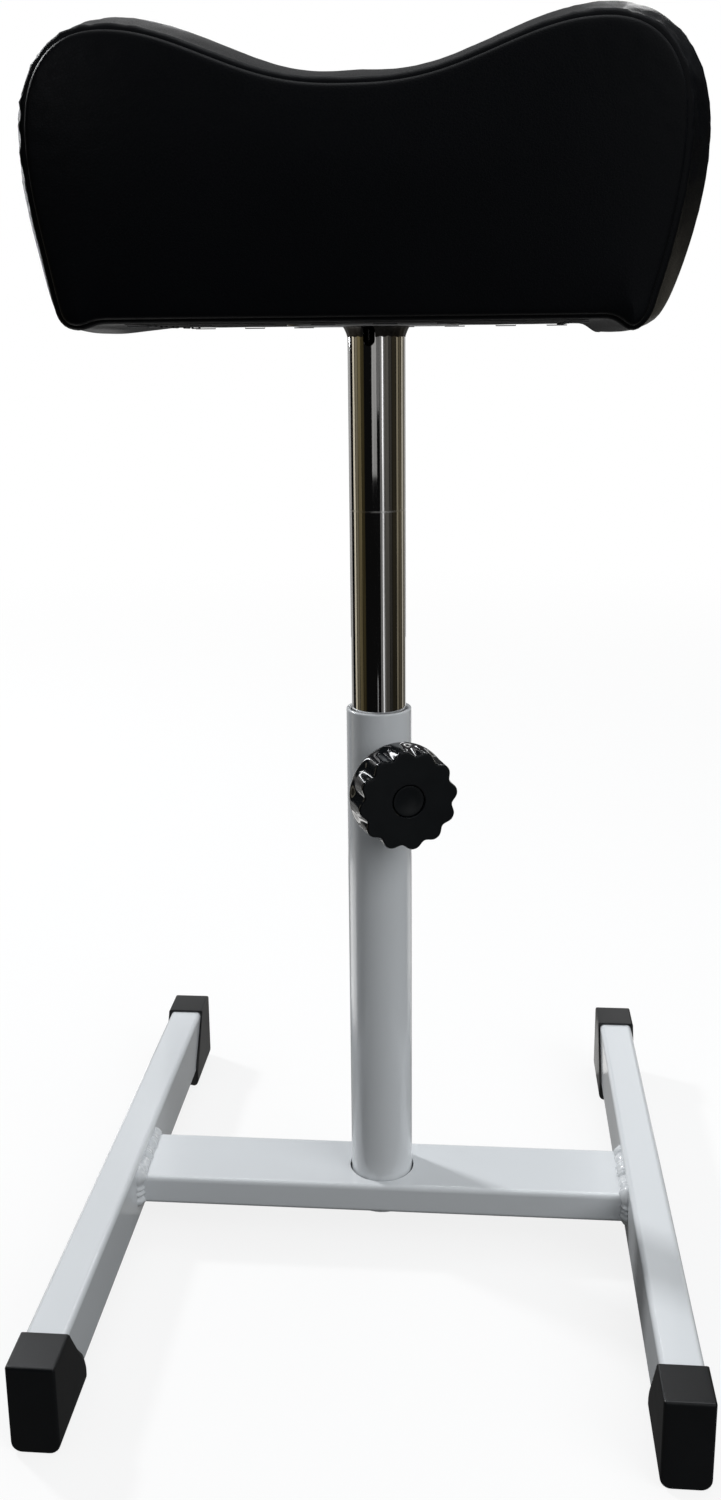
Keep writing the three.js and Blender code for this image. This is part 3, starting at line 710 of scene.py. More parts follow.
# a bead of weld round a tube, under a plate
def lumpyRing(radius, top, run, drop, pitch, seed, power=1.3, lump=0.16):
    rows = []
    lumps = round(fullTurn * radius / pitch)
    inside, over, far = radius - ringBead["bury"], top + ringBead["over"], ringBead["unevenTurns"]
    for i in range(ringBead["turns"]):
        turn = fullTurn * i / ringBead["turns"]
        scale = 1 - lump * abs(math.cos(lumps * turn / 2)) ** ringBead["lumpShape"]
        spot = Vector((math.cos(turn) * far, math.sin(turn) * far, seed))
        scale *= ringBead["share"] + ringBead["uneven"] * lump * noise.noise(spot)
        row = [(inside, over), (inside, top - drop * scale)]
        for sine, cosine in quarter(ringBead["sectionSteps"]):
            row.append((radius + run * scale * sine ** power, top - drop * scale * cosine ** power))
        row.append((radius + run * scale * ringBead["toe"], over))
        rows.append(spun(row, turn))
    return skin(rows, loop=True)


def notchTool(width):
    half = width / 2
    top = boxOf("column")[1].z
    outline = [(-half, column["notchOver"]), (half, column["notchOver"])]
    for k in range(column["notchSteps"] + 1):
        turn = -math.pi * k / column["notchSteps"]
        outline.append((half * math.cos(turn), half - column["notchDepth"] + half * math.sin(turn)))
    rings = [[(x, y, top + z) for x, z in outline] for y in column["notchCut"]]
    return makeMesh("notch", skin(rings, ends=True), Matrix.Rotation(column["notchTurn"], 4, "Z"))


def addColumn():
    low, high = boxOf("column")
    outer, inner, edge = column["radius"], column["radius"] - column["wall"], column["edge"]
    corners = [(inner, low.z, edge), (outer, low.z, edge), (outer, high.z, edge), (inner, high.z, edge)]
    tube = addPiece("column_tube", lathe(filleted(corners, column["edgeSteps"]), column["steps"]))
    cut(tube, notchTool(column["notchWidth"]))
    dress(tube, chrome, "upper", ["column"])
    ring = addPiece("column_bead", lumpyRing(
        outer + column["weldGap"], high.z, column["weldRun"], column["weldDrop"], column["weldPitch"],
        column["weldSeed"], column["weldPower"], column["weldLump"]))
    cut(ring, notchTool(column["notchWidth"] + column["weldNotchGap"]))
    dress(ring, weldDarkAsShade, "upper", ["column_weld"], crease=50, weighted=False)


def addPostWeld():
    underside = boxOf("post_weld")[1].z
    ring = addPiece("post_bead", lumpyRing(
        post["radius"] + post["weldGap"], underside + post["weldRise"], post["weldRun"], post["weldDrop"],
        post["weldPitch"], post["weldSeed"]))
    dress(ring, paint, "base", ["post_weld"], crease=60, weighted=False)


addPost()
addPostWeld()
addColumn()
print("post and column made")


# Clamp: drawn along the screw, z being the distance from the axis of the post

clamp = {"nutStart": 15.3, "nutHeight": 8.0, "nutAcross": 17.0, "nutBore": 5.3, "nutSteps": 144,
         "boreEdge": 0.7, "topShare": 0.97, "chamfer": 0.55, "weldGap": 0.5, "weldSteps": 160,
         "weldSides": 10, "weldWide": 1.35, "weldHigh": 1.4, "weldLumps": 18, "weldLump": 0.2,
         "weldLumpShape": 3, "weldUneven": 0.12, "weldUnevenTurns": 4, "weldSeeds": (1, 8),
         "studStart": 16.1, "studEnd": 36.9, "studRadius": 4.8, "studSides": 36,
         "threadPitch": 1.5, "threadSteps": 10, "threadDepth": 0.8, "threadCrest": 1.35,
         "threadFade": 1.2, "endTaper": 0.5}


def addNut():
    flat = clamp["nutAcross"] / 2
    low, high = clamp["nutStart"], clamp["nutStart"] + clamp["nutHeight"]
    bore, edge, top = clamp["nutBore"], clamp["boreEdge"], flat * clamp["topShare"]
    rows = []
    for i in range(clamp["nutSteps"]):
        turn = fullTurn * i / clamp["nutSteps"]
        radius = flat / math.cos((turn % (math.pi / 3)) - math.pi / 6)
        shoulder = high - (radius - top) * clamp["chamfer"]
        rows.append(spun([(bore, low), (radius, low), (radius, shoulder), (top, high), (bore + edge, high),
                          (bore, high - edge)], turn))
    nut = addPiece("nut", skin(rows, loop=True), clampPlace)
    dress(nut, paint, "base", ["clamp_nut"], crease=25)


# a bead that follows the round of the post
def addNutWeld():
    ring = clamp["nutAcross"] / 2 / math.cos(math.pi / 6) + clamp["weldGap"]
    rows = []
    for i in range(clamp["weldSteps"]):
        turn = fullTurn * i / clamp["weldSteps"]
        dent = clamp["weldLump"] * abs(math.cos(clamp["weldLumps"] / 2 * turn)) ** clamp["weldLumpShape"]
        spot = Vector((turn * clamp["weldUnevenTurns"], *clamp["weldSeeds"]))
        lump = 1 - dent + clamp["weldUneven"] * noise.noise(spot)
        row = []
        for k in range(clamp["weldSides"]):
            angle = fullTurn * k / clamp["weldSides"]
            r = ring + clamp["weldWide"] * lump * math.cos(angle)
            x = r * math.cos(turn)
            height = math.sqrt(post["radius"] ** 2 - x * x) + clamp["weldHigh"] * lump * math.sin(angle)
            row.append((x, r * math.sin(turn), height))
        rows.append(row)
    piece = addPiece("nut_bead", skin(rows, loop=True), clampPlace)
    dress(piece, paint, "base", ["nut_weld"], crease=60, weighted=False)


def addStud():
    rows = []
    start, length, pitch = clamp["studStart"], clamp["studEnd"] - clamp["studStart"], clamp["threadPitch"]
    count = int(length / pitch * clamp["threadSteps"])
    for i in range(count + 1):
        z = start + length * i / count
        fade = smoothStep(0, clamp["threadFade"], z - start)
        fade *= smoothStep(0, clamp["threadFade"], clamp["studEnd"] - z)
        row = []
        for k in range(clamp["studSides"]):
            phase = (z / pitch - k / clamp["studSides"]) % 1.0
            crest = min((1 - abs(2 * phase - 1)) * clamp["threadCrest"], 1.0)
            radius = clamp["studRadius"] - clamp["threadDepth"] * (1 - crest) - clamp["endTaper"] * (1 - fade)
            turn = fullTurn * k / clamp["studSides"]
            row.append((radius * math.cos(turn), radius * math.sin(turn), z))
        rows.append(row)
    stud = addPiece("stud_thread", skin(rows, ends=True), clampPlace)
    dress(stud, zinc, "knob", ["clamp_stud"], crease=30, weighted=False)


knob = {"hub": 9.0, "hubStart": 24.6, "hubEdge": 0.5, "boreGap": 0.3, "back": 27.1, "backFlat": 15.0,
        "radius": 23.2, "faceRadius": 22.9, "backRound": 2.4, "backSteps": 7, "sideSteps": 16, "edge": 1.1,
        "edgeSteps": 5, "lobes": 12, "lobeTurn": math.radians(6.3), "stepsPerLobe": 20, "fluteDepth": 2.3,
        "fluteShape": 1.3, "fluteStart": 0.35, "fluteFade": 0.32, "faceRows": (0.93, 0.8, 0.6, 0.42),
        "fluteRunOut": 3, "faceDish": 0.02, "recess": 7.5, "recessDepth": 2.4, "recessEdge": (0.35, 0.3),
        "recessRound": 0.2, "capGap": 0.5, "capSeat": 0.3, "capRim": 1.9, "capEdge": 0.45,
        "capEdgeMiddle": 0.13, "capRimWidth": 0.9, "capDish": 1.0, "capRows": 8, "capSteps": 72}


# distance along the screw, radius, and how deep the flutes are there
def knobStations():
    face, back, hub = knobFaceDistance, knob["back"], knob["hub"]
    gap, edge = knob["boreGap"], knob["hubEdge"]
    bore, studEnd, hubStart = clamp["studRadius"] + gap, clamp["studEnd"] + gap, knob["hubStart"]
    stations = [(studEnd, 0.0, 0.0), (studEnd, bore, 0.0), (hubStart + gap, bore, 0.0),
                (hubStart, bore + gap, 0.0), (hubStart, hub - edge, 0.0), (hubStart + edge, hub, 0.0),
                (back - edge, hub, 0.0), (back, hub + edge, 0.0), (back, knob["backFlat"], 0.0)]
    rounding, wide, narrow = knob["backRound"], knob["radius"], knob["faceRadius"]
    stations += [(back + rounding * (1 - cosine), wide - rounding * (1 - sine), 0.0)
                 for sine, cosine in quarter(knob["backSteps"])]
    start, stop = back + rounding, face - knob["edge"]
    for k in range(1, knob["sideSteps"] + 1):
        share = k / knob["sideSteps"]
        depth = smoothStep(0.0, knob["fluteFade"], share) * (
            knob["fluteStart"] + (1 - knob["fluteStart"]) * share)
        stations.append((start + (stop - start) * share, wide + (narrow - wide) * share, depth))
    stations += [(stop + knob["edge"] * sine, narrow - knob["edge"] * (1 - cosine), 1.0)
                 for sine, cosine in quarter(knob["edgeSteps"], first=1)]
    stations += [(face - knob["faceDish"], (narrow - knob["edge"]) * share, share ** knob["fluteRunOut"])
                 for share in knob["faceRows"]]
    floor, recess = face - knob["recessDepth"], knob["recess"]
    wideEdge, deepEdge = knob["recessEdge"]
    stations += [(face, recess + wideEdge, 0.0), (face - deepEdge, recess, 0.0),
                 (floor + knob["recessRound"], recess, 0.0), (floor, recess - knob["recessRound"], 0.0),
                 (floor, 0.0, 0.0)]
    return stations


def addKnob():
    steps = knob["stepsPerLobe"] * knob["lobes"]
    rings = []
    for distance, radius, share in knobStations():
        ring = []
        for i in range(steps):
            turn = knob["lobeTurn"] + fullTurn * i / steps
            wave = (1 - math.cos(fullTurn * i / knob["stepsPerLobe"])) / 2
            r = radius - share * knob["fluteDepth"] * wave ** knob["fluteShape"]
            ring.append((r * math.cos(turn), r * math.sin(turn), distance))
        rings.append(ring)
    body = addPiece("knob_body", skin(rings), clampPlace)
    dress(body, knobPlastic, "knob", ["knob_grip"], crease=38)


# the dished disc in the face of the knob
def addKnobDisc():
    rim = knob["recess"] - knob["capGap"]
    seat = knobFaceDistance - knob["recessDepth"] + knob["capSeat"]
    top = seat + knob["capRim"]
    edge, corner = knob["capEdge"], knob["capEdgeMiddle"]
    profile = [(0, seat), (rim, seat), (rim, top - edge), (rim - corner, top - corner), (rim - edge, top)]
    for k in range(1, knob["capRows"] + 1):
        share = 1 - k / knob["capRows"]
        profile.append(((rim - knob["capRimWidth"]) * share, top - knob["capDish"] * (1 - share * share)))
    disc = addPiece("knob_disc", lathe(profile, knob["capSteps"]), clampPlace)
    dress(disc, knobPlastic, "knob", ["knob_cap"], crease=40)


addNut()
addNutWeld()
addStud()
addKnob()
addKnobDisc()
print("clamp made")


# Countersunk wood screws that hold the plate to the board

screw = {"headRadius": 4.0, "faceRadius": 3.6, "faceEdge": 0.3, "shank": 2.0, "root": 1.55, "tip": 1.0,
         "headHeight": 2.4, "threadFrom": 2.6, "halfPitch": 0.5, "threads": 18, "taper": 1.6,
         "tipLength": 1.2, "steps": 40, "crossLong": 2.3, "crossWide": 0.5, "crossOver": -1.0,
         "crossDepth": 1.7, "crossTaper": 0.45}


def addScrew(name):
    low, high = boxOf(name)
    middle = (low + high) / 2
    head = low.z
    profile = [(0, head), (screw["faceRadius"], head), (screw["headRadius"], head + screw["faceEdge"]),
               (screw["shank"], head + screw["headHeight"])]
    for k in range(screw["threads"]):
        z = head + screw["threadFrom"] + k * screw["halfPitch"]
        radius = screw["root"] if k % 2 else screw["shank"]
        profile.append((radius if z < high.z - screw["taper"] else screw["tip"], z))
        if z > high.z - screw["tipLength"]:
            break
    profile.append((0, high.z))
    place = Matrix.Translation((middle.x * mm, middle.y * mm, 0))
    piece = addPiece(name + "_head", lathe(profile, screw["steps"]), place)
    tools = []
    arms = screw["crossLong"], screw["crossWide"]
    for long, wide in (arms, arms[::-1]):
        corners = (long, -wide), (long, wide), (-long, wide), (-long, -wide)
        rings = [[(x * share, y * share, head + z) for x, y in corners]
                 for share, z in ((1.0, screw["crossOver"]), (screw["crossTaper"], screw["crossDepth"]))]
        tools.append(makeMesh("cross", skin(rings, ends=True), place))
    cut(piece, *tools)
    dress(piece, zinc, "upper", [name])


for number in range(1, 5):
    addScrew(f"plate_screw_{number}")
for name, finish in (("mount_plate", zinc), ("column_plug", capPlastic), ("clamp_tip", nylon),
                     ("base_board", plywood)):
    for slot in nodes[name].material_slots:
        slot.material = finish
print("fixings made")


# Cushion: the outline of its seam, then a skin over both panels and the band

cushion = {
    "height": 441.0, "shift": -3.5, "seamHalfDepth": 80.0, "dipHeight": 84.6, "lobeRise": 20.2,
    "lobeOffset": 90.7, "shoulderRun": 32.0, "shoulderDrop": 38.8, "sideTaper": 11.0,
    "footHeight": 5.0, "rollDrop": 3.2, "rollInset": 7.5, "rollRun": 7.5, "rollBack": 0.1, "rollBackTo": -30,
    "crown": 15.5, "topCrownShare": 0.87, "dipCrownShare": 0.84, "slopeLoss": 0.115, "footCrownShare": 0.7,
    "saddleShape": 1.35, "shoulderShape": 2.35, "footCrownShape": 3.0, "sideShape": 1.7, "boardTop": 454.5,
}
outlineSteps = {"flat": 20, "roll": 8, "foot": 10, "side": 24, "shoulder": 24, "saddle": 40}
lobeHeight = cushion["dipHeight"] + cushion["lobeRise"]
widestHalf = cushion["lobeOffset"] + cushion["shoulderRun"]
widestHeight = lobeHeight - cushion["shoulderDrop"]
footHalf = widestHalf - cushion["sideTaper"]
rollLow = footHalf - cushion["rollInset"]
rollStart = rollLow - cushion["rollRun"]


# right half, from under the middle round to the dip: x, z and share of the crown;
# the marks are the points in the middle of the foot and of the shoulder
def halfOutline():
    c, steps = cushion, outlineSteps
    points = [(rollStart * i / steps["flat"], 0.0, 0.0) for i in range(steps["flat"] + 1)]
    for i in range(1, steps["roll"] + 1):
        share = i / steps["roll"]
        drop = c["rollDrop"] * (1 - math.cos(math.pi * share)) / 2
        points.append((rollStart + c["rollRun"] * share, -drop, 0.0))
    for sine, cosine in quarter(steps["foot"], first=1):
        points.append((rollLow + c["rollInset"] * sine,
                       c["footHeight"] - (c["footHeight"] + c["rollDrop"]) * cosine,
                       c["footCrownShare"] * sine ** c["footCrownShape"]))
    footMark = len(points) - 1 - steps["foot"] // 2
    for i in range(1, steps["side"] + 1):
        share = 1 - i / steps["side"]
        points.append((widestHalf - c["sideTaper"] * share ** c["sideShape"],
                       widestHeight - (widestHeight - c["footHeight"]) * share,
                       1 - (1 - c["footCrownShare"]) * share ** c["footCrownShape"]))
    power = 2 / c["shoulderShape"]
    for sine, cosine in quarter(steps["shoulder"], first=1):
        points.append((c["lobeOffset"] + c["shoulderRun"] * cosine ** power,
                       widestHeight + c["shoulderDrop"] * sine ** power,
                       1 - (1 - c["topCrownShare"]) * sine ** 2))
    shoulderMark = len(points) - 1 - steps["shoulder"] // 2
    for i in range(1, steps["saddle"] + 1):
        share = 1 - i / steps["saddle"]
        wave = ((1 - math.cos(math.pi * share)) / 2) ** c["saddleShape"]
        crownShare = c["dipCrownShare"] + (c["topCrownShare"] - c["dipCrownShare"]) * share
        points.append((c["lobeOffset"] * share, c["dipHeight"] + c["lobeRise"] * wave,
                       crownShare - c["slopeLoss"] * math.sin(math.pi * share)))
    return points, footMark, shoulderMark


# equal steps along a line of (x, z, share), with both ends kept
def resampled(points, count):
    lengths = [0.0]
    for a, b in zip(points, points[1:]):
        lengths.append(lengths[-1] + math.dist(a[:2], b[:2]))
    made, k = [], 0
    for i in range(count + 1):
        run = lengths[-1] * i / count
        while k < len(points) - 2 and lengths[k + 1] < run:
            k += 1
        share = (run - lengths[k]) / (lengths[k + 1] - lengths[k])
        made.append(tuple(a + (b - a) * share for a, b in zip(points[k], points[k + 1])))
    return made


across, upright = 64, 26   # faces of a panel from side to side and from foot to shoulder
# uneven stuffing: x, z, radius and the share of the crown added there
stuffing = ((-60, 98, 24, -0.05), (45, 92, 26, 0.02), (78, 105, 22, 0.04), (112, 98, 22, 0.17),
            (123, 66, 24, 0.05), (-122, 50, 40, 0.08), (-112, 98, 18, 0.06), (-118, 6, 18, 0.12))
rollShare = {"left": 0.75, "right": 1.5}
footPush = {"x": -115, "z": 3, "radius": 15, "out": 1.5}


# the whole seam: x, z, share of the crown and the direction outwards
def seamLoop():
    points, footMark, shoulderMark = halfOutline()
    bottom = resampled(points[:footMark + 1], across // 2)
    side = resampled(points[footMark:shoulderMark + 1], upright)
    top = resampled(points[shoulderMark:], across // 2)
    right = bottom[:-1] + side[:-1] + top
    whole = right + [(-x, z, share) for x, z, share in right[1:-1][::-1]]
    made = []
    for i, (x, z, share) in enumerate(whole):
        ahead, behind = whole[(i + 1) % len(whole)], whole[i - 1]
        along = Vector((ahead[0] - behind[0], ahead[1] - behind[1])).normalized()
        for spotX, spotZ, radius, gain in stuffing:
            share += gain * math.exp(-((x - spotX) ** 2 + (z - spotZ) ** 2) / radius ** 2)
        if z < 0:
            z *= rollShare["left" if x < 0 else "right"]
        fromFoot = ((x - footPush["x"]) ** 2 + (z - footPush["z"]) ** 2) / footPush["radius"] ** 2
        x -= footPush["out"] * math.exp(-fromFoot)
        made.append((x, z, share, along.y, -along.x))
    return made


loop = seamLoop()
loopCount = len(loop)
footCorner = across // 2
shoulderCorner = footCorner + upright


# how far the band stands out at a depth, along an arc that ends at the seams
def bandSwell(depth, half):
    radius = (half ** 2 + cushion["crown"] ** 2) / (2 * cushion["crown"])
    return math.sqrt(max(radius ** 2 - depth ** 2, 0)) - (radius - cushion["crown"])


# fills a ring with a grid whose corners are at the feet and the shoulders, then evens it out
def panelPatch(ring):
    def at(i):
        return Vector(ring[i % loopCount])

    low = [at(i - footCorner) for i in range(across + 1)]
    right = [at(footCorner + i) for i in range(upright + 1)]
    high = [at(shoulderCorner + across - i) for i in range(across + 1)]
    left = [at(-footCorner - i) for i in range(upright + 1)]
    grid = [[None] * (across + 1) for _ in range(upright + 1)]
    for j in range(upright + 1):
        v = j / upright
        for i in range(across + 1):
            u = i / across
            grid[j][i] = ((1 - v) * low[i] + v * high[i] + (1 - u) * left[j] + u * right[j]
                          - (1 - u) * (1 - v) * low[0] - u * (1 - v) * low[-1]
                          - (1 - u) * v * high[0] - u * v * high[-1])
    for _ in range(panel["evenings"]):
        grid = [[grid[j][i] if j in (0, upright) or i in (0, across) else
                 (grid[j - 1][i] + grid[j + 1][i] + grid[j][i - 1] + grid[j][i + 1]) / 4
                 for i in range(across + 1)] for j in range(upright + 1)]
    return grid


# a domed panel inside the ring of points that starts at an index
def fillPanel(points, faces, reach, first, facing, depth, dome):
    grid = panelPatch([(x, z) for x, _, z in points[first:first + loopCount]])
    index = {}
    for i in range(across + 1):
        index[0, i] = first + (i - footCorner) % loopCount
        index[upright, i] = first + (shoulderCorner + across - i) % loopCount
    for j in range(upright + 1):
        index[j, across] = first + footCorner + j
        index[j, 0] = first + (-footCorner - j) % loopCount
    for j in range(1, upright):
        for i in range(1, across):
            u, v = 2 * i / across - 1, 2 * j / upright - 1
            index[j, i] = len(points)
            rise = dome * (1 - u ** 4) * (1 - v * v)
            points.append((grid[j][i].x, facing * (depth + rise), grid[j][i].y))
            reach.append(-panel["edgeReach"] - panel["moreReach"] * (1 - max(u * u, v * v)))
    faces += [(index[j, i], index[j, i + 1], index[j + 1, i + 1], index[j + 1, i])
              for j in range(upright) for i in range(across)]


seamRows = (0.0, 1.2, 2.6, 4.6, 7.6)              # distances from the seam
rollHeights = (0.0, 0.65, 1.25, 1.85, 2.45)       # how far the panel stands out there
panel = {"evenings": 25, "edgeReach": 7.0, "moreReach": 30}
band = {"start": 7.0, "rows": 34}


# four-sided faces between two closed rows of points
def rowFaces(a, b):
    return [(a + i, a + (i + 1) % loopCount, b + (i + 1) % loopCount, b + i) for i in range(loopCount)]


# points, faces and, for each point, its distance from the seam: over 0 on the band
def cushionSkin(inset, dome):
    half = cushion["seamHalfDepth"] - inset
    start, rows = band["start"], band["rows"]
    depths = [-half + row for row in seamRows]
    depths += [-half + start + (2 * half - 2 * start) * k / rows for k in range(1, rows)]
    depths += [half - row for row in seamRows[::-1]]
    points, reach, faces = [], [], []
    for depth in depths:
        swell = bandSwell(depth, half)
        # behind the front seam the roll under the left edge is nearly flat
        flatter = 1 - (1 - cushion["rollBack"]) * smoothStep(-half, cushion["rollBackTo"], depth)
        for x, z, share, outX, outZ in loop:
            out = share * swell - inset
            drop = flatter if x < 0 and z < 0 else 1.0
            points.append((x + outX * out, depth, z * drop + outZ * out))
            reach.append(half - abs(depth))
    for row in range(len(depths) - 1):
        faces += rowFaces(row * loopCount, (row + 1) * loopCount)
    for facing, edgeRow in ((-1, 0), (1, len(depths) - 1)):
        last = edgeRow * loopCount
        for row, lift in list(zip(seamRows, rollHeights))[1:]:
            first = len(points)
            for x, z, share, outX, outZ in loop:
                points.append((x - outX * (row + inset), facing * (half + lift), z - outZ * (row + inset)))
                reach.append(-row)
            faces += rowFaces(last, first)
            last = first
        fillPanel(points, faces, reach, last, facing, half + rollHeights[-1], dome)
    return points, faces, reach


cushionPlace = Matrix.Translation((cushion["shift"] * mm, 0, cushion["height"] * mm))


# stuffing pressure, then what the seams do to the cover, all in millimetres
cover = {
    "dome": 1.7, "frames": 20, "pinReach": 3.0, "pinRise": 0.5, "swell": 1.4, "swellRun": 26.0,
    "groove": 1.6, "grooveWidth": 1.25, "welt": 0.3, "weltAt": 2.4, "weltWidth": 1.2,
    "pucker": 1.0, "puckerSize": 4.8, "puckerLength": 42.0, "puckerReach": 38.0, "puckerFrom": (0.4, 3.0),
    "backSeed": 7, "flank": (8, 40), "shoulderX": (62, 108), "shoulderZ": (30, 75),
    "fineFolds": (0.5, 2.1), "plainShare": 0.2, "panelPucker": 0.12, "slowRun": Vector((38, 45, 38)),
    "slowBand": 0.7, "slowPanel": 0.35, "slowReach": (1.5, 14), "slowHeight": (1, 12),
    "thickness": 1.2, "hemX": 79.0, "hemY": 62.0, "hemRise": 0.8, "hemSlope": 0.8,
}
leatherCloth = {
    "quality": 6, "mass": 0.25, "tension_stiffness": 12, "compression_stiffness": 12, "shear_stiffness": 4,
    "bending_stiffness": 0.4, "use_pressure": True, "uniform_pressure_force": 4.0,
}


def addCover():
    points, faces, reach = cushionSkin(0.0, cover["dome"])
    piece = addPiece("cushion_cover", (points, faces), cushionPlace, merge=False)
    piece.data.attributes.new("reach", "FLOAT", "POINT").data.foreach_set("value", reach)
    puff(piece, reach, points)
    modify(piece, "finer", "SUBSURF", levels=1, render_levels=1)
    applyModifiers(piece)
    shapeSeams(piece.data)
    openUnderside(piece.data)
    modify(piece, "leather", "SOLIDIFY", thickness=cover["thickness"] * mm, offset=-1)
    applyModifiers(piece)
    dress(piece, leatherette, "upper", ["cover_front", "cover_back", "cover_band"],
          crease=60, weighted=False)
    return piece


# cloth under pressure, held at the seams and under the board
def puff(piece, reach, points):
    start = [v.co.copy() for v in piece.data.vertices]
    pins = piece.vertex_groups.new(name="pins")
    for i, (away, (x, _, z)) in enumerate(zip(reach, points)):
        if abs(away) < cover["pinReach"] or (z < cover["pinRise"] and abs(x) < rollStart):
            pins.add([i], 1.0, "REPLACE")
    modifier = modify(piece, "puff", "CLOTH")
    for key, value in leatherCloth.items():
        setattr(modifier.settings, key, value)
    modifier.settings.vertex_group_mass = "pins"
    modifier.settings.effector_weights.gravity = 0
    modifier.collision_settings.use_collision = False
    modifier.point_cache.frame_start = 1
    modifier.point_cache.frame_end = cover["frames"]
    scene = bpy.context.scene
    for step in range(1, cover["frames"] + 1):
        scene.frame_set(step)
    applyModifiers(piece)
    scene.frame_set(1)
    for vertex, home, away in zip(piece.data.vertices, start, reach):
        move = vertex.co - home
        limit = cover["swell"] * mm * min(1.0, abs(away) / cover["swellRun"])
        if move.length > limit:
            move *= limit / move.length
        vertex.co = home + move
    piece.vertex_groups.clear()


# seam grooves, the welt beside them, puckers and a slow unevenness
def shapeSeams(mesh):
    reach = [item.value for item in mesh.attributes["reach"].data]
    normals = [v.normal.copy() for v in mesh.vertices]
    fineShare, fineSize = cover["fineFolds"]
    run = cover["slowRun"]
    for vertex, signed, normal in zip(mesh.vertices, reach, normals):
        x, y, z = vertex.co / mm
        onBand, away = signed > 0, abs(signed)
        height = z - cushion["height"]
        out = -cover["groove"] * math.exp(-(signed / cover["grooveWidth"]) ** 2)
        if onBand:
            out += cover["welt"] * math.exp(-((away - cover["weltAt"]) / cover["weltWidth"]) ** 2)
        flank = smoothStep(*cover["flank"], height)
        shoulder = smoothStep(*cover["shoulderX"], abs(x - cushion["shift"]))
        shoulder *= smoothStep(*cover["shoulderZ"], height)
        size = cover["puckerSize"]
        along = away / cover["puckerLength"] + cover["backSeed"] * (y > 0)
        spot = Vector((x / size, z / size, along))
        folds = noise.noise(spot) + fineShare * noise.noise(spot * fineSize)
        near = math.exp(-away / cover["puckerReach"]) * smoothStep(*cover["puckerFrom"], away)
        share = (cover["plainShare"] + (1 - cover["plainShare"]) * shoulder) * flank
        share *= 1.0 if onBand else cover["panelPucker"]
        out += cover["pucker"] * folds * near * share
        slow = noise.noise(Vector((x / run.x, y / run.y, z / run.z)))
        fade = smoothStep(*cover["slowReach"], away) * smoothStep(*cover["slowHeight"], height)
        out += (cover["slowBand"] if onBand else cover["slowPanel"]) * slow * fade
        vertex.co += normal * (out * mm)
    mesh.update()


# takes away the flat part inside the hems
def openUnderside(mesh):
    work = bmesh.new()
    work.from_mesh(mesh)
    inside = []
    for face in work.faces:
        spot = face.calc_center_median() / mm
        if (spot.z < cushion["height"] + cover["hemRise"] and abs(spot.x - cushion["shift"]) < cover["hemX"]
                and abs(spot.y) < cover["hemY"] and abs(face.normal.z) > cover["hemSlope"]):
            inside.append(face)
    bmesh.ops.delete(work, geom=inside, context="FACES")
    work.to_mesh(mesh)
    work.free()


# foam inside the cover, with room for the board
def addFoam():
    pad = {"inset": 3.4, "dome": 1.0, "boardEndPad": 16.0, "endGap": 0.3, "topGap": 0.4, "halfDepth": 90,
           "low": -9.0}
    points, faces, _ = cushionSkin(pad["inset"], pad["dome"])
    core = addPiece("foam_pad", (points, faces), cushionPlace)
    x, y = footHalf - pad["boardEndPad"] + pad["endGap"], pad["halfDepth"]
    top = cushion["boardTop"] + pad["topGap"] - cushion["height"]
    rings = [[(x, -y, z), (x, y, z), (-x, y, z), (-x, -y, z)] for z in (pad["low"], top)]
    cut(core, makeMesh("room", skin(rings, ends=True), cushionPlace))
    dress(core, foam, "upper", ["foam_core"], crease=60, weighted=False)


coverPiece = addCover()
addFoam()
print("cushion made")


# Black fibre sheet under the cushion, with a window for the plate, stapled along its edge

sheet = {"countX": 48, "countY": 40, "window": 71.0, "snap": 2.2, "thickness": 0.35, "wave": 0.5,
         "waveX": 4.1, "waveY": 3.7, "waveReach": 4, "crease": 0.18, "creaseRun": 16, "creaseSeed": 4,
         "creaseFrom": 9, "lift": 0.15, "sag": 0.2, "sagFrom": 25}


def sheetPoint(u, v, halfX, halfY):
    x, y = u * halfX, v * halfY
    edge = min(halfX - abs(x), halfY - abs(y))
    waves = math.sin(x / sheet["waveX"]) + math.sin(y / sheet["waveY"])
    pull = sheet["wave"] * waves / 2 * math.exp(-edge / sheet["waveReach"])
    x -= pull * u
    y -= pull * v
    spot = Vector((x / sheet["creaseRun"], y / sheet["creaseRun"], sheet["creaseSeed"]))
    crease = sheet["crease"] * noise.noise(spot)
    drop = sheet["lift"] + sheet["sag"] * smoothStep(0, sheet["sagFrom"], edge)
    return x, y, crease * smoothStep(0, sheet["creaseFrom"], edge) - drop


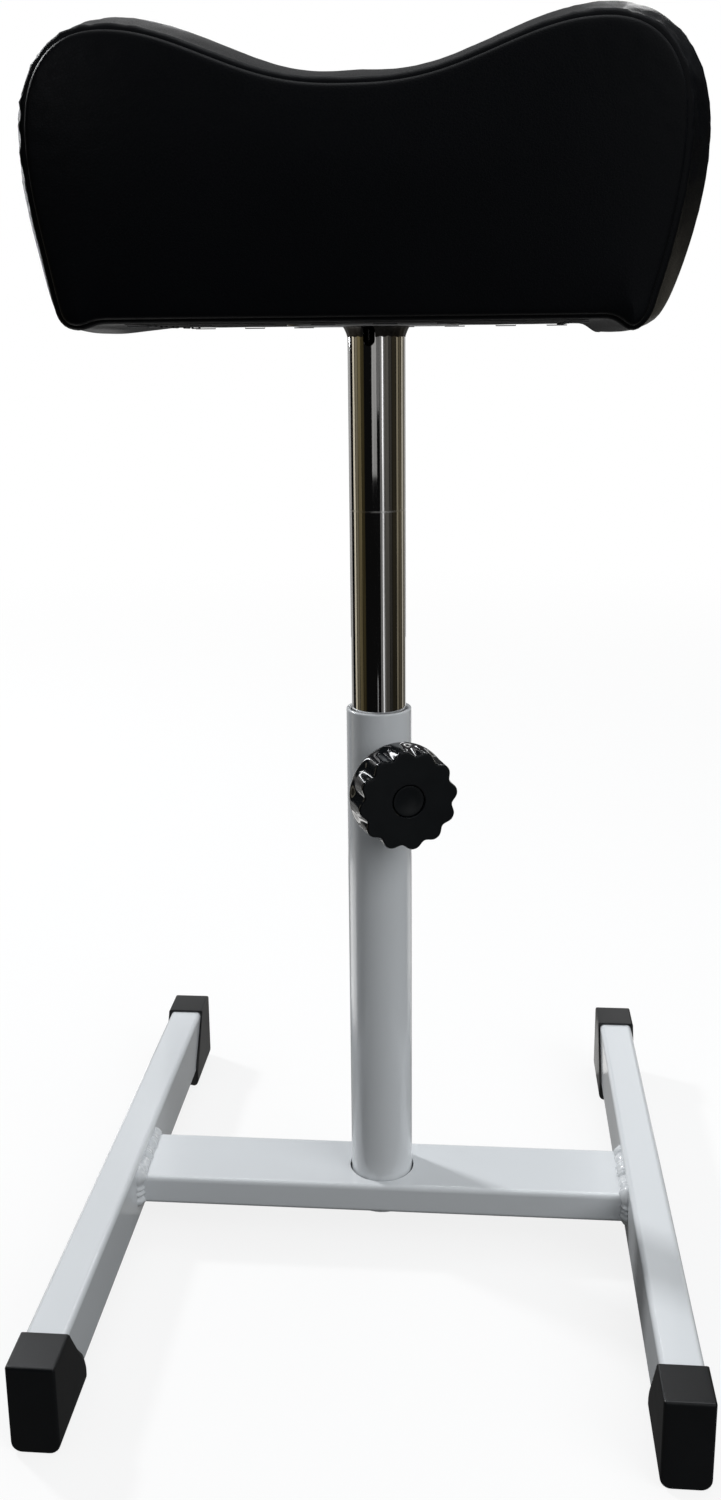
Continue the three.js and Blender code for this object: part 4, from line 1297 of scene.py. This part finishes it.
def addDustCover():
    low, high = boxOf("dust_cover")
    middle = (low + high) / 2
    halfX, halfY, window = (high.x - low.x) / 2, (high.y - low.y) / 2, sheet["window"] / 2
    countX, countY = sheet["countX"], sheet["countY"]
    points, faces, index = [], [], {}
    for j in range(countY + 1):
        for i in range(countX + 1):
            x, y, z = sheetPoint(2 * i / countX - 1, 2 * j / countY - 1, halfX, halfY)
            index[i, j] = len(points)
            points.append((middle.x + x, middle.y + y, high.z + z))
    for j in range(countY):
        for i in range(countX):
            centre = (Vector(points[index[i, j]]) + Vector(points[index[i + 1, j + 1]])) / 2
            if abs(centre.x) >= window or abs(centre.y) >= window:
                faces.append((index[i, j], index[i + 1, j], index[i + 1, j + 1], index[i, j + 1]))
    used = sorted({k for face in faces for k in face})
    order = {k: n for n, k in enumerate(used)}
    kept = [tuple(order[k] for k in face) for face in faces]
    cloth = addPiece("dust_sheet", ([points[k] for k in used], kept))
    edge, snap = window * mm, sheet["snap"] * mm
    for vertex in cloth.data.vertices:
        # the cut edge of the window follows the plate
        for axis in (0, 1):
            if abs(abs(vertex.co[axis]) - edge) < snap and abs(vertex.co[1 - axis]) < edge + snap:
                vertex.co[axis] = math.copysign(edge, vertex.co[axis])
    modify(cloth, "fibre", "SOLIDIFY", thickness=sheet["thickness"] * mm, offset=1)
    applyModifiers(cloth)
    dress(cloth, fleece, "upper", ["dust_cover"], crease=60, weighted=False)
    staples = addStaples(middle, halfX, halfY, low.z)


def addStaples(middle, halfX, halfY, low):
    wire = {"length": 9.5, "width": 1.1, "thick": 0.45, "bury": 0.05, "leg": 1.6, "crown": 0.8,
            "section": ((1, 0), (1, 0.6), (0.5, 1), (-0.5, 1), (-1, 0.6), (-1, 0)), "pitch": 24.0,
            "inset": 4.5, "stray": 0.8, "twist": 0.25, "seeds": ((1, 0.3), (1, 5.3), (1.7, 2))}
    points, faces = [], []

    def staple(x, y, turn):
        half, side, thick = wire["length"] / 2, wire["width"] / 2, wire["thick"]
        section = [(side * s, low + wire["bury"] - thick * t) for s, t in wire["section"]]
        crown, leg = wire["crown"], -wire["leg"]
        bends = ((-1, leg), (-1, 0), (-crown, 0.0), (crown, 0.0), (1, 0), (1, leg))
        rings = [[(half * share, a, b - drop) for a, b in section] for share, drop in bends]
        made, quads = skin(rings, ends=True)
        cosine, sine = math.cos(turn), math.sin(turn)
        base = len(points)
        points.extend((x + a * cosine - b * sine, y + a * sine + b * cosine, c) for a, b, c in made)
        faces.extend(tuple(base + k for k in quad) for quad in quads)

    spots = []
    insetX, insetY = halfX - wire["inset"], halfY - wire["inset"]
    countX, countY = (round(2 * inset / wire["pitch"]) for inset in (insetX, insetY))
    for side in (-1, 1):
        for k in range(countX + 1):
            spots.append((middle.x - insetX + 2 * insetX * k / countX, side * insetY, 0))
        for k in range(1, countY):
            spots.append((middle.x + side * insetX, -insetY + 2 * insetY * k / countY, math.pi / 2))
    for k, (x, y, turn) in enumerate(spots):
        strayX, strayY, twist = (noise.noise(Vector((k * run, seed, 0))) for run, seed in wire["seeds"])
        staple(x + wire["stray"] * strayX, y + wire["stray"] * strayY, turn + wire["twist"] * twist)
    made = addPiece("staples", (points, faces))
    return dress(made, stapleWireDarkAsShade, "upper", crease=40, weighted=False)


addDustCover()
print("underside made")


# Camera at the place from which the photograph was taken

def addCamera():
    view = {"height": 1500, "focal": 1393.47, "middle": 690.0, "place": (0.04449, -0.61958, 0.43396),
            "yaw": -4.88244, "pitch": 14.0972, "roll": -0.5781, "sensor": 36.0}
    yaw, pitch, roll = (math.radians(view[name]) for name in ("yaw", "pitch", "roll"))
    forward = Vector((math.sin(yaw) * math.cos(pitch), math.cos(yaw) * math.cos(pitch), -math.sin(pitch)))
    level = Vector((math.cos(yaw), -math.sin(yaw), 0))
    upright = level.cross(forward)
    right = level * math.cos(roll) + upright * math.sin(roll)
    up = upright * math.cos(roll) - level * math.sin(roll)
    data = bpy.data.cameras.new("photo_camera")
    data.sensor_width = view["sensor"]
    data.lens = view["focal"] / view["height"] * view["sensor"]
    data.shift_y = (view["middle"] - view["height"] / 2) / view["height"]
    camera = linked("photo_camera", data)
    camera.matrix_world = Matrix((
        (right.x, up.x, -forward.x, view["place"][0]),
        (right.y, up.y, -forward.y, view["place"][1]),
        (right.z, up.z, -forward.z, view["place"][2]),
        (0, 0, 0, 1),
    ))
    bpy.context.scene.camera = camera


addCamera()


# Studio: pale floor, soft lamps, and cards that only reflections see

# 1 for what the camera sees, straight or in a mirror, and 0 for what lights the object
def pathShare(shade):
    path = shade.node("LightPath")
    return shade.maths("MINIMUM", path + path.out("Is Glossy Ray") + path.out("Is Transmission Ray"), 1.0)


def addWorld():
    sky = {"ambient": 0.25, "tint": (0.95, 0.98, 1.0)}
    world = bpy.data.worlds.new("studio")
    bpy.context.scene.world = world
    world.use_nodes = True
    world.node_tree.nodes.clear()
    shade = Wire(world.node_tree)
    dim = tuple(sky["ambient"] * share for share in sky["tint"])
    light = shade.node("Background", None, {"Color": between(shade, dim, (1, 1, 1), pathShare(shade))})
    shade.node("OutputWorld", None, {"Surface": light})


def addFloor():
    floor = {"rings": (0.0, 400.0, 3000.0, 40000.0), "sides": 64, "near": 0.5, "far": 2.2,
             "shadowShare": 0.16, "bounce": 0.07, "grainSize": 0.02, "light": (0.97, 0.97, 0.97),
             "dark": (0.95, 0.95, 0.95)}
    material, shade = startFinish("pale floor")
    place = shade.node("TexCoord").out("Object")
    away = shade.node("VectorMath", {"operation": "LENGTH"}, {0: place}, "Value")
    fade = shade.node("MapRange", {"interpolation_type": "SMOOTHSTEP"},
                      {0: away, 1: floor["near"], 2: floor["far"], 3: floor["shadowShare"], 4: 0.0})
    tone = between(shade, floor["dark"], floor["light"], grain(shade, place, floor["grainSize"], 2.0))
    lit = shade.node("BsdfDiffuse", None, {"Color": tone})
    glow = shade.node("Emission", None, {"Color": (1, 1, 1, 1), "Strength": 1.0})
    seenFloor = shade.node("MixShader", None, {0: fade, 1: glow, 2: lit})
    dim = shade.node("BsdfDiffuse", None, {"Color": (floor["bounce"],) * 3 + (1,)})
    surface = shade.node("MixShader", None, {0: pathShare(shade), 1: dim, 2: seenFloor})
    shade.node("OutputMaterial", None, {"Surface": surface})
    turns = [fullTurn * i / floor["sides"] for i in range(floor["sides"])]
    rings = [[(r * math.cos(turn), r * math.sin(turn), 0.0) for turn in turns] for r in floor["rings"]]
    ground = addPiece("floor", skin(rings))
    ground.data.materials.append(material)


def addLamp(name, place, aim, size, power, tint):
    data = bpy.data.lights.new(name, "AREA")
    data.shape = "RECTANGLE"
    data.size = data.size_y = size
    data.energy = power
    data.color = tint
    lamp = linked(name, data)
    lamp.location = place
    lamp.rotation_mode = "QUATERNION"
    lamp.rotation_quaternion = (Vector(aim) - Vector(place)).to_track_quat("-Z", "Y")


def glowFinish(name, low, high, share, strength):
    material, shade = startFinish(name)
    place = shade.node("TexCoord").out("Object")
    tone = between(shade, low, high, share(shade, place))
    glow = shade.node("Emission", None, {"Color": tone, "Strength": strength})
    shade.node("OutputMaterial", None, {"Surface": glow})
    return material


# what stands round the object: radii and heights in metres, turns from the camera's side
ring = {"wallRadius": 0.52, "wallFade": 1.0, "wallTop": 1.6, "cardRadius": 0.505, "cardTop": 0.45,
        "windowRadius": 0.49, "floorCard": 0.0004, "floorHole": 0.002, "front": -85.9, "stepTurn": 4}


# a glowing grey or brown card that only reflections see, a painted reflection of a room: brighter towards its
# top, and uneven
def cardFinish(name, strength, warmth):
    look = {"low": 0.3, "high": 1.7, "green": 0.10, "blue": 0.32, "cloudSize": 0.009, "cloudSpan": 0.07,
            "cloud": 2.2, "base": 0.2, "rise": 0.55}
    tint = (1.0, 1.0 - look["green"] * warmth, 1.0 - look["blue"] * warmth)

    def patches(shade, place):
        height = shade.node("SeparateXYZ", None, {0: place}).out("Z")
        cloud = grain(shade, stretched(shade, place, 1, 1, look["cloudSpan"]), look["cloudSize"], 3.0)
        rise = shade.maths("MINIMUM", height / ring["cardTop"], 1.0) * look["rise"]
        return (cloud - 0.5) * look["cloud"] + look["base"] + rise

    return glowFinish(name, tuple(look["low"] * t for t in tint), tuple(look["high"] * t for t in tint),
                      patches, strength)


# glow of a wall that only reflections see, a painted reflection: one tone below, and nearly white towards the
# top
def wallFinish(name, dark):
    def rise(shade, place):
        height = shade.node("SeparateXYZ", None, {0: place}).out("Z")
        return shade.node("MapRange", {"interpolation_type": "SMOOTHSTEP"},
                          {0: height, 1: ring["wallFade"], 2: ring["wallTop"]})

    return glowFinish(name, (dark,) * 3, (0.9, 0.9, 0.9), rise, 1.0)


def floorFinish(name, strength):
    def middle(shade, place):
        return 0.5

    return glowFinish(name, (0.94, 0.93, 0.9), (1, 1, 1), middle, strength)


# part of a ring from one turn to another; both edges have a radius and a height
def addCard(name, turns, edges, finish):
    first, last = turns
    steps = max(2, int((last - first) / ring["stepTurn"]))
    rows = []
    for radius, z in edges:
        row = []
        for i in range(steps + 1):
            turn = math.radians(ring["front"] + first + (last - first) * i / steps)
            row.append((radius * math.cos(turn) / mm, radius * math.sin(turn) / mm, z / mm))
        rows.append(row)
    made = addPiece(name, skin(rows, closed=False))
    made.data.materials.append(finish)
    made.visible_camera = made.visible_diffuse = made.visible_shadow = False
    made.visible_transmission = made.visible_volume_scatter = False


def addCards():
    card, window, wall = ring["cardRadius"], ring["windowRadius"], ring["wallRadius"]
    # first and last turn, over 0 to the right, then shade and warmth
    uprights = [
        (-155, -132, 0.35, 0.1), (-112, -101, 0.55, 0.9), (-97, -84, 0.13, 1.3), (-82, -67, 0.11, 1.8),
        (-66, -52, 0.03, 2.0), (-19, -1, 0.24, 0.1), (0, 9, 0.12, 0.1), (11, 30, 0.15, 0.1),
        (31, 48, 0.065, 0.5), (50, 60, 0.03, 0.6), (62, 80, 0.02, 1.4), (84, 94, 0.17, 1.2),
        (97, 112, 0.07, 1.4), (116, 127, 0.40, 0.8), (131, 150, 0.15, 0.6),
    ]
    raised = {-19: 0.33, 0: 0.38}
    for first, last, shade, warmth in uprights:
        name = f"card_{first}"
        addCard(name, (first, last), [(card, raised.get(first, 0.0)), (card, ring["cardTop"])],
                cardFinish(name, shade, warmth))
    # the same, with a low and a high edge before the shade; the bright ones put painted glints on the chrome,
    # the knob and the band, and the dim blue one a painted sheen on the front panel
    windows = [
        (20, 25, 0.0, 0.44, 1.0, 0.0), (-4, -1, 0.0, 0.17, 0.35, 0.0), (-44, -38, 0.62, 0.74, 6.0, -0.15),
        (70, 108, 0.75, 1.25, 0.9, -0.1), (5, 45, 0.52, 0.95, 0.08, -0.8),
        (-138, -134, 0.43, 0.66, 9.0, -0.15), (152, 157, 0.58, 0.9, 5.0, 0.0),
        (163, 190, 0.6, 1.6, 0.17, 0.0), (-165, -161, 0.6, 0.7, 7.0, -0.15),
        (158, 171, 0.2, 0.58, 0.04, 0.0), (171, 177, 0.48, 0.58, 5.0, -0.1),
        (171, 177.1, 0.2, 0.479, 0.04, 0.0), (177.2, 202, 0.2, 0.58, 0.04, 0.0),
    ]
    for first, last, low, high, shade, warmth in windows:
        name = f"window_{first}_{low}"
        addCard(name, (first, last), [(window, low), (window, high)], cardFinish(name, shade, warmth))
    for first, last, dark in ((-152, 150, 0.004), (150, 208, 0.8)):
        name = f"wall_{first}"
        addCard(name, (first, last), [(wall, 0.0), (wall, ring["wallTop"])], wallFinish(name, dark))
    # what the paint and the feet reflect from below: turns, near and far edge, level and shade
    sectors = [(-92, 112, 0.0, 0.52, 1, 0.07), (112, 268, 0.0, 0.52, 1, 0.25),
               (222, 262, 0.22, 0.52, 2, 2.3), (117, 150, 0.19, 0.52, 2, 1.0)]
    for first, last, near, far, level, shade in sectors:
        name, height = f"floor_card_{first}", ring["floorCard"] * level
        addCard(name, (first, last), [(near + ring["floorHole"], height), (far, height)],
                floorFinish(name, shade))


addWorld()
addFloor()
addLamp("top_light", (0.35, 0.35, 2.3), (0, 0, 0.2), 1.7, 15, (0.94, 0.975, 1.0))
addLamp("left_light", (-1.39, 0.86, 1.5), (0, 0, 0.1), 0.2, 24, (0.97, 0.985, 1.0))
addLamp("right_light", (1.15, -1.05, 1.2), (0, 0, 0.15), 1.2, 13, (0.96, 0.985, 1.0))
addCards()
bpy.context.scene.view_settings.view_transform = "Standard"
print("studio made")
